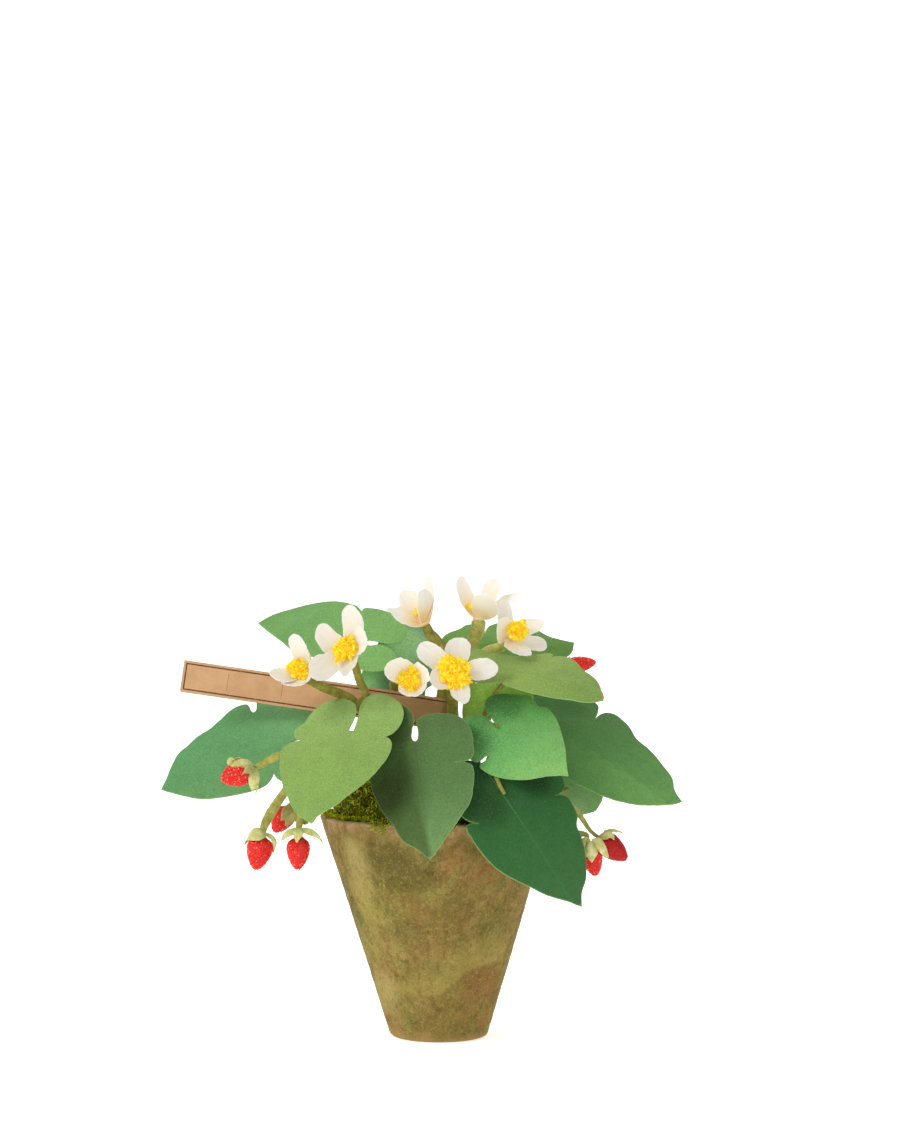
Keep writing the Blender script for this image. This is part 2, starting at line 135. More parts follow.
FLOWERS = {
    "g": dict(base=[7.06, -31.4, 187.58], facing=[0.08, -0.9296, 0.3598], tuft=9.3, height=9, petals=[
        dict(along=[-0.8242, 0.0109, 0.5662], normal=[0.1868, -0.9387, 0.2899], length=21.57,
            outline=[(1.2, -1.5), (9.73, -7.23), (13.1, -7.62), (17.32, -7.38), (20.72, -5.97), (22.38, -3.86), (22.63, -1.07), (21.49, 1.25), (19.57, 3.01), (16.61, 3.65), (12.83, 3.71), (1.2, 1.5)]),
        dict(along=[0.0953, 0.511, 0.8543], normal=[0.0965, -0.8589, 0.503], length=21.07,
            outline=[(1.2, 1.5), (1.2, -1.5), (11.53, -7.27), (14.9, -7.5), (17.93, -6.9), (20.09, -5.18), (21.21, -2.54), (21.1, 0.52), (19.78, 2.96), (17.47, 4.79), (14.53, 5.52), (11.79, 5.24)]),
        dict(along=[0.9862, 0.1007, 0.1316], normal=[0.0478, -0.9334, 0.3557], length=23.03,
            outline=[(1.2, 1.5), (1.2, -1.5), (9.54, -4.14), (12.97, -5.03), (16.55, -5.03), (20.03, -4.11), (22.18, -2.01), (23.12, 0.52), (22.01, 3.1), (19.79, 5.28), (16.37, 6.35), (12.79, 6.39), (9.62, 5.83)]),
        dict(along=[0.2842, -0.6694, -0.6864], normal=[-0.0361, -0.7229, 0.6901], length=20.58,
            outline=[(1.2, 1.5), (1.2, -1.5), (5.1, -4.27), (8.99, -4.65), (14.07, -4.34), (17.52, -2.75), (20.63, -0.54), (20.07, 1.72), (16.95, 3.72), (12.37, 5.11), (8.4, 5.53)]),
        dict(along=[-0.6045, -0.7468, -0.2774], normal=[0.4894, -0.6229, 0.6103], length=17.64,
            outline=[(1.2, -1.5), (8.78, -7.01), (11.89, -6.34), (14.92, -3.77), (17.37, -0.61), (17.43, 2.13), (14.98, 3.99), (10.52, 4.8), (7.06, 3.69), (1.2, 1.5)]),
    ]),
    "f": dict(base=[-14.68, -27.9, 183.58], facing=[-0.0501, -0.9314, 0.3605], tuft=7.2, height=8, petals=[
        dict(along=[-0.8016, -0.3193, 0.5054], normal=[0.3832, -0.9233, 0.0245], length=15.19,
            outline=[(1.2, -1.5), (2.82, -8.19), (6.69, -8.61), (10.12, -8.11), (12.74, -6.33), (14.9, -3.65), (15.62, -0.63), (15.18, 2.31), (12.72, 4.11), (9.2, 4.45), (1.2, 1.5)]),
        dict(along=[0.645, -0.5678, 0.5113], normal=[-0.6682, -0.7438, 0.0169], length=13.23,
            outline=[(1.2, 1.5), (1.2, -1.5), (7.43, -4.85), (10.84, -5.87), (13.24, -5.75), (13.72, -2.58), (12.58, 0.65), (11.16, 3.76), (9.64, 6.07), (5.46, 6.1)]),
        dict(along=[0.5699, -0.7578, -0.3178], normal=[-0.4485, -0.6109, 0.6524], length=13.23,
            outline=[(1.2, -1.5), (6.69, -3.98), (11.74, -3.29), (12.27, -0.17), (10.64, 2.83), (7.63, 4.94), (4.21, 4.02), (1.2, 1.5)]),
        dict(along=[-0.0752, -0.8611, -0.5028], normal=[0.1002, -0.5082, 0.8554], length=13.23,
            outline=[(1.2, -1.5), (6.46, -5.63), (9.98, -4.56), (12.61, -2.07), (13.3, 1.52), (12.0, 4.94), (6.78, 6.08), (1.2, 1.5)]),
        dict(along=[-0.5165, -0.8241, -0.2323], normal=[0.4493, -0.4918, 0.7458], length=9.8,
            outline=[(1.2, -1.5), (3.65, -3.22), (7.91, -1.62), (9.29, 1.15), (4.42, 1.69), (1.2, 1.5)]),
    ]),
    "b": dict(base=[-45.52, -42.92, 199.9], facing=[-0.2996, -0.6991, 0.6492], tuft=6.8, height=8, petals=[
        dict(along=[0.0574, 0.0158, 0.9982], normal=[-0.3305, -0.9432, 0.0339], length=22.95,
            outline=[(1.2, -1.5), (8.18, -6.87), (12.74, -7.77), (16.68, -6.64), (19.34, -4.77), (21.96, -2.18), (23.02, 0.53), (21.67, 3.15), (19.09, 4.56), (15.07, 4.59), (10.59, 3.88), (1.2, 1.5)]),
        dict(along=[0.6043, -0.747, 0.277], normal=[-0.7941, -0.5929, 0.1336], length=14.72,
            outline=[(1.2, -1.5), (7.2, -4.13), (11.01, -3.87), (15.71, -2.92), (16.16, 5.15), (13.87, 9.3), (1.2, 1.5)]),
        dict(along=[-0.7781, 0.0543, 0.6258], normal=[0.0176, -0.994, 0.108], length=19.6,
            outline=[(1.2, 1.5), (1.2, -1.5), (12.0, -3.34), (15.51, -3.69), (18.48, -2.98), (19.68, -0.9), (19.42, 1.8), (17.9, 4.46), (15.59, 6.49), (12.48, 7.53), (9.51, 8.39), (6.62, 7.98), (3.76, 5.95)]),
        dict(along=[-0.7425, -0.4423, -0.503], normal=[0.3249, -0.8946, 0.3069], length=24.5,
            outline=[(1.2, -1.5), (11.53, -5.66), (15.44, -6.77), (18.85, -6.71), (21.46, -5.89), (23.45, -3.57), (24.85, 0.42), (23.6, 3.05), (21.25, 5.07), (18.16, 6.19), (14.79, 6.18), (10.9, 5.52), (1.2, 1.5)]),
        dict(along=[-0.0699, -0.7159, -0.6947], normal=[-0.2954, -0.6503, 0.6999], length=17.64,
            outline=[(1.2, -1.5), (10.52, -4.64), (14.48, -2.62), (18.09, -0.43), (14.17, 2.6), (11.07, 4.38), (7.36, 5.42), (3.74, 5.76), (1.2, 1.5)]),
    ]),
    "a": dict(base=[-69.48, -40.83, 189.07], facing=[-0.5003, -0.7204, 0.4803], tuft=6.2, height=8, petals=[
        dict(along=[-0.2001, 0.0428, 0.9788], normal=[-0.466, -0.883, -0.0567], length=19.6,
            outline=[(1.2, -1.5), (5.87, -7.12), (8.97, -6.75), (18.42, -2.66), (19.54, -0.58), (18.99, 1.69), (16.98, 3.38), (14.5, 3.96), (11.84, 3.58), (1.2, 1.5)]),
        dict(along=[-0.8975, -0.4409, -0.0134], normal=[0.28, -0.593, 0.7549], length=16.66,
            outline=[(1.2, 1.5), (1.2, -1.5), (6.47, -4.05), (10.88, -3.86), (14.17, -3.22), (16.26, -1.17), (17.14, 2.1), (15.59, 4.77), (13.04, 6.8)]),
        dict(along=[-0.3474, -0.8072, -0.4773], normal=[0.0087, -0.5118, 0.8591], length=13.72,
            outline=[(1.2, -1.5), (11.48, -5.82), (13.95, -3.67), (13.37, -1.23), (12.34, 2.11), (10.41, 5.07), (7.0, 5.8), (1.2, 1.5)]),
        dict(along=[0.4793, -0.8591, -0.1795], normal=[-0.7733, -0.5101, 0.3766], length=11.76,
            outline=[(11.76, 0.0), (4.62, 5.61), (1.2, 1.5), (1.2, -1.5), (5.21, -3.36), (11.1, -2.01)]),
        dict(along=[0.3394, 0.5408, 0.7697], normal=[-0.166, -0.771, 0.6148], length=12.74,
            outline=[(13.34, 1.83), (11.43, 3.39), (1.2, 1.5), (1.2, -1.5), (3.83, -2.83), (7.72, -2.5), (11.35, -0.72)]),
    ]),
    "c": dict(base=[-7.63, 6.0, 212.67], facing=[-0.4501, -0.15, 0.8803], tuft=3.6, height=9.5, petals=[
        dict(along=[-0.9485, -0.0115, 0.3165], normal=[0.244, -0.6636, 0.7071], length=18.06,
            outline=[(0.6, 2.55), (0.6, -2.55), (6.61, -6.47), (10.65, -7.11), (13.86, -6.6), (16.17, -4.8), (17.65, -1.84), (17.81, 1.04), (15.93, 3.08), (8.81, 5.36), (5.04, 5.41)]),
        dict(along=[0.0155, -0.3898, 0.9208], normal=[-0.6709, 0.6787, 0.2986], length=19.24,
            outline=[(-0.57, 4.32), (0.6, -2.55), (6.72, -5.06), (11.94, -5.7), (16.16, -5.11), (18.82, -3.87), (19.55, -1.27), (18.39, 1.25), (15.72, 3.92), (12.78, 5.37), (8.17, 5.64), (3.68, 5.09)]),
        dict(along=[0.0774, 0.2657, 0.961], normal=[-0.8009, -0.5575, 0.2186], length=26.46,
            outline=[(1.2, -1.5), (11.31, -6.56), (15.9, -5.37), (20.47, -3.93), (24.51, -2.16), (26.46, -0.0), (25.18, 1.8), (22.21, 3.12), (19.13, 3.86), (1.2, 1.5)]),
        dict(along=[-0.4781, 0.4462, 0.7565], normal=[-0.1049, -0.8842, 0.4553], length=22.54,
            outline=[(1.2, 1.5), (1.2, -1.5), (17.04, -4.76), (18.86, -4.88), (20.85, -2.66), (22.79, 0.46), (22.55, 1.78)]),
        dict(along=[-0.8934, 0.329, 0.3059], normal=[0.1349, -0.4531, 0.8812], length=22.54,
            outline=[(1.2, -1.5), (17.04, -5.53), (19.55, -4.61), (21.86, -3.3), (22.54, -0.0), (19.8, 0.63), (1.2, 1.5)]),
    ]),
    "d": dict(base=[20.68, 24.0, 214.66], facing=[0.0501, -0.1202, 0.9915], tuft=6.2, height=11, petals=[
        dict(along=[-0.3614, 0.3435, 0.8668], normal=[0.4849, -0.7248, 0.4894], length=26.0,
            outline=[(0.6, 2.7), (0.6, -2.7), (3.2, -3.6), (17.83, -3.72), (21.39, -3.19), (24.36, -2.35), (25.98, -0.66), (23.48, 3.57), (19.74, 5.63), (15.62, 6.36), (10.72, 7.12), (6.43, 6.04), (2.28, 4.34)]),
        dict(along=[0.3309, -0.6411, 0.6925], normal=[0.2499, 0.7672, 0.5907], length=17.64,
            outline=[(0.6, 2.7), (0.6, -2.7), (5.69, -6.46), (9.56, -7.38), (12.85, -6.89), (15.46, -4.95), (17.65, -1.75), (17.11, 0.81), (15.75, 3.62), (12.61, 6.21), (9.06, 8.01)]),
        dict(along=[0.3344, 0.3797, 0.8626], normal=[-0.4018, -0.7705, 0.4949], length=24.96,
            outline=[(0.6, 2.7), (0.6, -2.7), (3.2, -3.6), (13.98, -5.84), (17.52, -5.8), (21.0, -4.85), (23.78, -2.57), (24.93, 0.3), (24.06, 2.43), (21.77, 4.06), (18.12, 4.94), (14.58, 4.92), (3.2, 3.6)]),
        dict(along=[0.8274, 0.269, 0.4929], normal=[-0.4172, -0.293, 0.8603], length=26.0,
            outline=[(1.2, 1.5), (1.2, -1.5), (18.63, -3.88), (22.2, -3.48), (25.07, -1.81), (26.2, 1.61), (25.15, 4.45), (23.05, 6.5), (20.63, 7.92), (18.1, 8.18)]),
        dict(along=[-0.2, 0.6432, 0.7392], normal=[0.2346, -0.701, 0.6735], length=21.56,
            outline=[(21.56, 0.0), (13.72, 3.74), (3.2, 3.6), (0.6, 2.7), (0.6, -2.7), (3.2, -3.6), (19.16, -1.0)]),
    ]),
    "e": dict(base=[35.37, 2.0, 204.21], facing=[0.5002, -0.6603, 0.5602], tuft=5.6, height=12, petals=[
        dict(along=[-0.0642, 0.3212, 0.9448], normal=[0.541, -0.7844, 0.3034], length=21.56,
            outline=[(1.2, 1.5), (1.2, -1.5), (12.21, -5.11), (15.69, -4.8), (18.78, -3.68), (21.0, -2.16), (21.52, 0.31), (19.62, 2.87), (15.2, 4.25), (10.21, 4.97)]),
        dict(along=[-0.1957, -0.5751, 0.7943], normal=[0.5836, -0.7192, -0.3769], length=14.21,
            outline=[(1.63, 5.95), (0.02, -1.62), (3.47, -4.17), (8.96, -4.84), (13.84, -1.61), (14.05, 2.8), (10.55, 4.08), (5.55, 5.49)]),
        dict(along=[0.895, 0.1581, 0.417], normal=[-0.0199, -0.92, 0.3913], length=21.56,
            outline=[(1.2, 1.5), (1.2, -1.5), (11.15, -2.68), (14.53, -2.91), (17.54, -2.71), (20.12, -1.67), (21.81, 0.16), (20.72, 2.33), (18.15, 4.15), (14.35, 5.83), (10.74, 6.76)]),
        dict(along=[0.9585, 0.2415, -0.1512], normal=[0.2826, -0.7378, 0.613], length=21.56,
            outline=[(1.2, 1.5), (1.2, -1.5), (13.9, -3.96), (17.05, -4.12), (19.71, -3.56), (21.39, -1.0), (21.38, 1.59), (19.62, 3.91), (16.99, 5.33), (14.35, 5.33)]),
        dict(along=[0.6396, -0.6237, -0.4494], normal=[0.142, -0.4786, 0.8665], length=17.64,
            outline=[(1.2, 1.5), (1.2, -1.5), (3.82, -5.84), (10.88, -5.75), (14.75, -5.09), (16.74, -2.67), (18.02, 0.33), (14.79, 3.35), (11.19, 5.19)]),
    ]),
}
BERRIES = {
    "left_1": dict(top=[-95.4, -34.0, 139.89], tip=[-109.78, -37.0, 134.58], width=13.4),
    "left_2": dict(top=[-88.95, -40.0, 105.7], tip=[-91.98, -42.0, 89.86], width=13.2),
    "left_3": dict(top=[-70.84, -36.0, 105.29], tip=[-71.14, -38.0, 89.4], width=12.0),
    "left_4": dict(top=[-76.29, -24.0, 118.82], tip=[-84.03, -22.0, 106.94], width=11.5),
    "right_1": dict(top=[81.49, -28.0, 104.17], tip=[95.03, -30.0, 93.74], width=12.5),
    "right_2": dict(top=[74.94, -41.0, 102.72], tip=[78.58, -43.0, 86.89], width=11.5),
    "rear_1": dict(top=[68.13, 43.0, 188.71], tip=[83.77, 46.0, 191.0], width=9.0),
    "rear_2": dict(top=[77.66, 32.0, 177.48], tip=[86.95, 35.0, 171.51], width=9.0),
}
SEPALS = {
    "left_1": [
        dict(path=[[-93.68, -37.0, 140.61], [-96.77, -39.5, 142.16], [-100.0, -40.0, 142.75], [-102.79, -39.6, 142.72], [-104.69, -39.0, 143.08]], half=[1.3, 3.1, 3.4, 2.8, 2.1, 1.1], dull=0.0, face=[[-0.1, -0.93, 0.36], [-0.1, -0.93, 0.36]], cup=-0.22),
        dict(path=[[-104.36, -39.4, 142.7], [-105.25, -39.6, 144.17], [-104.36, -39.4, 145.36], [-102.79, -39.0, 145.13]], half=[1.5, 1.5, 1.0, 0.2], dull=0.0, face=[[0.0, -0.98, 0.21], [0.0, -0.98, 0.21]], cup=-0.22),
        dict(path=[[-92.71, -36.5, 140.58], [-92.54, -39.0, 138.25], [-92.9, -39.6, 134.78], [-92.73, -39.2, 131.74], [-92.05, -38.8, 130.6]], half=[1.0, 2.6, 3.1, 2.6, 2.1], dull=0.05, face=[[0.25, -0.96, -0.1], [0.25, -0.96, -0.1]], cup=-0.22),
        dict(path=[[-91.42, -39.2, 132.24], [-91.53, -39.0, 129.71], [-92.35, -38.8, 127.93], [-93.22, -38.6, 126.66]], half=[1.0, 0.5, 0.28, 0.1], dull=0.05, face=[[0.0, -1.0, 0.0], [0.0, -1.0, 0.0]], cup=-0.22),
        dict(path=[[-93.11, -38.0, 141.04], [-95.16, -41.0, 140.51], [-97.09, -42.0, 139.23], [-98.7, -42.0, 137.98]], half=[0.9, 2.5, 2.9, 1.0, 0.25], dull=0.75, face=[[0.1, -0.91, 0.4], [0.1, -0.91, 0.4]], cup=-0.22),
        dict(turn=215, length=7.0, half=[1.2, 2.4, 2.6, 1.6, 0.2], flare=1.0, dull=0.2),
        dict(turn=290, length=7.0, half=[1.2, 2.4, 2.6, 1.6, 0.2], flare=1.0, dull=0.2),
    ],
    "left_2": [
        dict(path=[[-86.82, -42.0, 108.9], [-89.13, -45.0, 108.95], [-92.03, -46.4, 108.24], [-94.33, -45.6, 106.86], [-96.26, -44.5, 105.15]], half=[1.4, 3.2, 3.7, 2.5, 0.2], dull=0.05, face=[[-0.21, -0.93, 0.31], [-0.21, -0.93, 0.31]], cup=-0.22),
        dict(path=[[-86.63, -41.0, 107.8], [-84.31, -42.0, 106.65], [-82.63, -42.5, 104.69], [-82.18, -42.5, 102.44], [-82.78, -42.5, 100.59]], half=[0.9, 1.3, 1.3, 1.1, 0.25], dull=0.05, face=[[0.55, -0.81, 0.2], [0.55, -0.81, 0.2]], cup=-0.22),
        dict(turn=265, length=7.0, half=[1.2, 2.4, 2.6, 1.6, 0.2], flare=1.0, dull=0.2),
        dict(turn=320, length=7.0, half=[1.2, 2.4, 2.6, 1.6, 0.2], flare=1.0, dull=0.2),
        dict(turn=205, length=6.0, half=[1.2, 2.4, 2.6, 1.6, 0.2], flare=1.0, dull=0.2),
    ],
    "left_3": [
        dict(path=[[-70.21, -38.5, 110.31], [-72.84, -41.0, 109.55], [-75.79, -42.0, 108.3], [-77.82, -41.6, 106.61], [-79.01, -41.0, 104.79]], half=[1.1, 1.7, 2.0, 1.6, 0.45], dull=0.0, face=[[-0.2, -0.9, 0.4], [-0.2, -0.9, 0.4]], cup=-0.22),
        dict(path=[[-70.16, -39.5, 110.91], [-70.5, -42.6, 108.96], [-71.07, -43.2, 106.51], [-71.33, -43.0, 103.79]], half=[1.1, 2.5, 2.7, 1.6, 0.35], dull=0.0, face=[[0.0, -1.0, 0.0], [0.0, -1.0, 0.0]], cup=-0.22),
        dict(path=[[-69.2, -38.5, 110.06], [-66.34, -40.6, 109.41], [-63.3, -41.2, 108.22], [-60.8, -41.0, 106.54], [-59.5, -41.0, 104.98], [-57.99, -41.0, 102.98]], half=[1.1, 1.6, 1.8, 1.3, 0.5, 0.12], dull=0.0, face=[[0.2, -0.9, 0.4], [0.2, -0.9, 0.4]], cup=-0.22),
        dict(turn=250, length=6.5, half=[1.2, 2.4, 2.6, 1.6, 0.2], flare=1.0, dull=0.2),
        dict(turn=300, length=6.5, half=[1.2, 2.4, 2.6, 1.6, 0.2], flare=1.0, dull=0.2),
    ],
    "left_4": [
        dict(path=[[-75.11, -27.0, 122.12], [-76.49, -29.6, 119.57], [-78.22, -30.2, 116.59], [-80.02, -29.8, 113.52]], half=[1.2, 2.6, 2.5, 0.25], dull=0.8, face=[[-0.31, -0.93, 0.21], [-0.31, -0.93, 0.21]], cup=-0.22),
        dict(path=[[-72.53, -28.0, 119.93], [-74.42, -30.4, 116.86], [-75.91, -30.8, 113.87], [-77.44, -30.6, 110.81]], half=[1.6, 3.3, 2.9, 0.35], dull=0.45, face=[[0.0, -1.0, 0.0], [0.0, -1.0, 0.0]], cup=-0.22),
        dict(turn=260, length=6.0, half=[1.2, 2.4, 2.6, 1.6, 0.2], flare=1.0, dull=0.2),
        dict(turn=320, length=6.0, half=[1.2, 2.4, 2.6, 1.6, 0.2], flare=1.0, dull=0.2),
    ],
    "right_1": [
        dict(path=[[79.44, -31.0, 104.73], [82.39, -34.0, 106.24], [85.7, -35.2, 107.16], [87.44, -34.8, 105.91], [88.17, -34.4, 104.06]], half=[0.5, 1.6, 2.5, 1.8, 0.15], dull=0.45, face=[[0.1, -0.86, 0.5], [0.1, -0.86, 0.5]], cup=-0.35),
        dict(path=[[83.33, -31.0, 107.96], [86.84, -31.5, 108.72], [90.4, -31.2, 108.28], [93.24, -31.0, 107.05]], half=[0.8, 1.1, 0.7, 0.12], dull=0.1, face=[[0.1, -0.7, 0.7], [0.1, -0.7, 0.7]], cup=-0.22),
        dict(turn=200, length=6.5, half=[1.2, 2.4, 2.6, 1.6, 0.2], flare=1.0, dull=0.2),
        dict(turn=270, length=6.5, half=[1.2, 2.4, 2.6, 1.6, 0.2], flare=1.0, dull=0.2),
        dict(turn=335, length=6.0, half=[1.2, 2.4, 2.6, 1.6, 0.2], flare=1.0, dull=0.2),
    ],
    "right_2": [
        dict(path=[[74.95, -43.5, 104.48], [75.48, -47.4, 101.88], [75.93, -48.4, 98.49], [76.21, -47.8, 94.23]], half=[1.3, 3.1, 3.5, 0.15], dull=0.2, face=[[0.0, -1.0, 0.0], [0.0, -1.0, 0.0]], cup=-0.4),
        dict(path=[[76.58, -43.0, 104.93], [79.66, -46.0, 104.43], [81.51, -46.8, 101.56], [83.14, -46.4, 98.77], [84.51, -46.0, 96.48]], half=[1.0, 2.3, 2.4, 2.0, 0.5], dull=0.12, face=[[0.31, -0.93, 0.21], [0.31, -0.93, 0.21]], cup=-0.35),
        dict(path=[[75.58, -43.0, 104.43], [73.59, -44.6, 105.29], [72.13, -45.6, 104.39], [72.22, -45.8, 102.11], [73.19, -45.4, 99.67]], half=[0.8, 1.3, 1.5, 1.2, 0.2], dull=0.3, face=[[0.0, -1.0, 0.0], [0.0, -1.0, 0.0]], cup=-0.35),
        dict(turn=230, length=6.0, half=[1.2, 2.4, 2.6, 1.6, 0.2], flare=1.0, dull=0.2),
        dict(turn=300, length=6.0, half=[1.2, 2.4, 2.6, 1.6, 0.2], flare=1.0, dull=0.2),
    ],
    "rear_1": [
        dict(turn=40, length=2.6, half=[0.8, 1.3, 1.2, 0.7, 0.2], flare=0.2, dull=0.6),
        dict(turn=130, length=2.6, half=[0.8, 1.3, 1.2, 0.7, 0.2], flare=0.1, dull=0.6),
        dict(turn=200, length=2.6, half=[0.8, 1.3, 1.2, 0.7, 0.2], flare=0.2, dull=0.7),
        dict(turn=265, length=2.6, half=[0.8, 1.3, 1.2, 0.7, 0.2], flare=0.2, dull=0.8),
        dict(turn=330, length=2.6, half=[0.8, 1.3, 1.2, 0.7, 0.2], flare=0.2, dull=0.6),
    ],
    "rear_2": [
        dict(turn=40, length=4.5, half=[0.8, 1.7, 1.8, 1.0, 0.2], flare=0.4, dull=0.2),
        dict(turn=130, length=4.5, half=[0.8, 1.7, 1.8, 1.0, 0.2], flare=0.2, dull=0.2),
        dict(turn=200, length=5.0, half=[0.8, 1.7, 1.8, 1.0, 0.2], flare=0.6, dull=0.2),
        dict(turn=265, length=5.0, half=[0.8, 1.7, 1.8, 1.0, 0.2], flare=0.8, dull=0.2),
        dict(turn=330, length=5.0, half=[0.8, 1.7, 1.8, 1.0, 0.2], flare=0.5, dull=0.2),
    ],
}
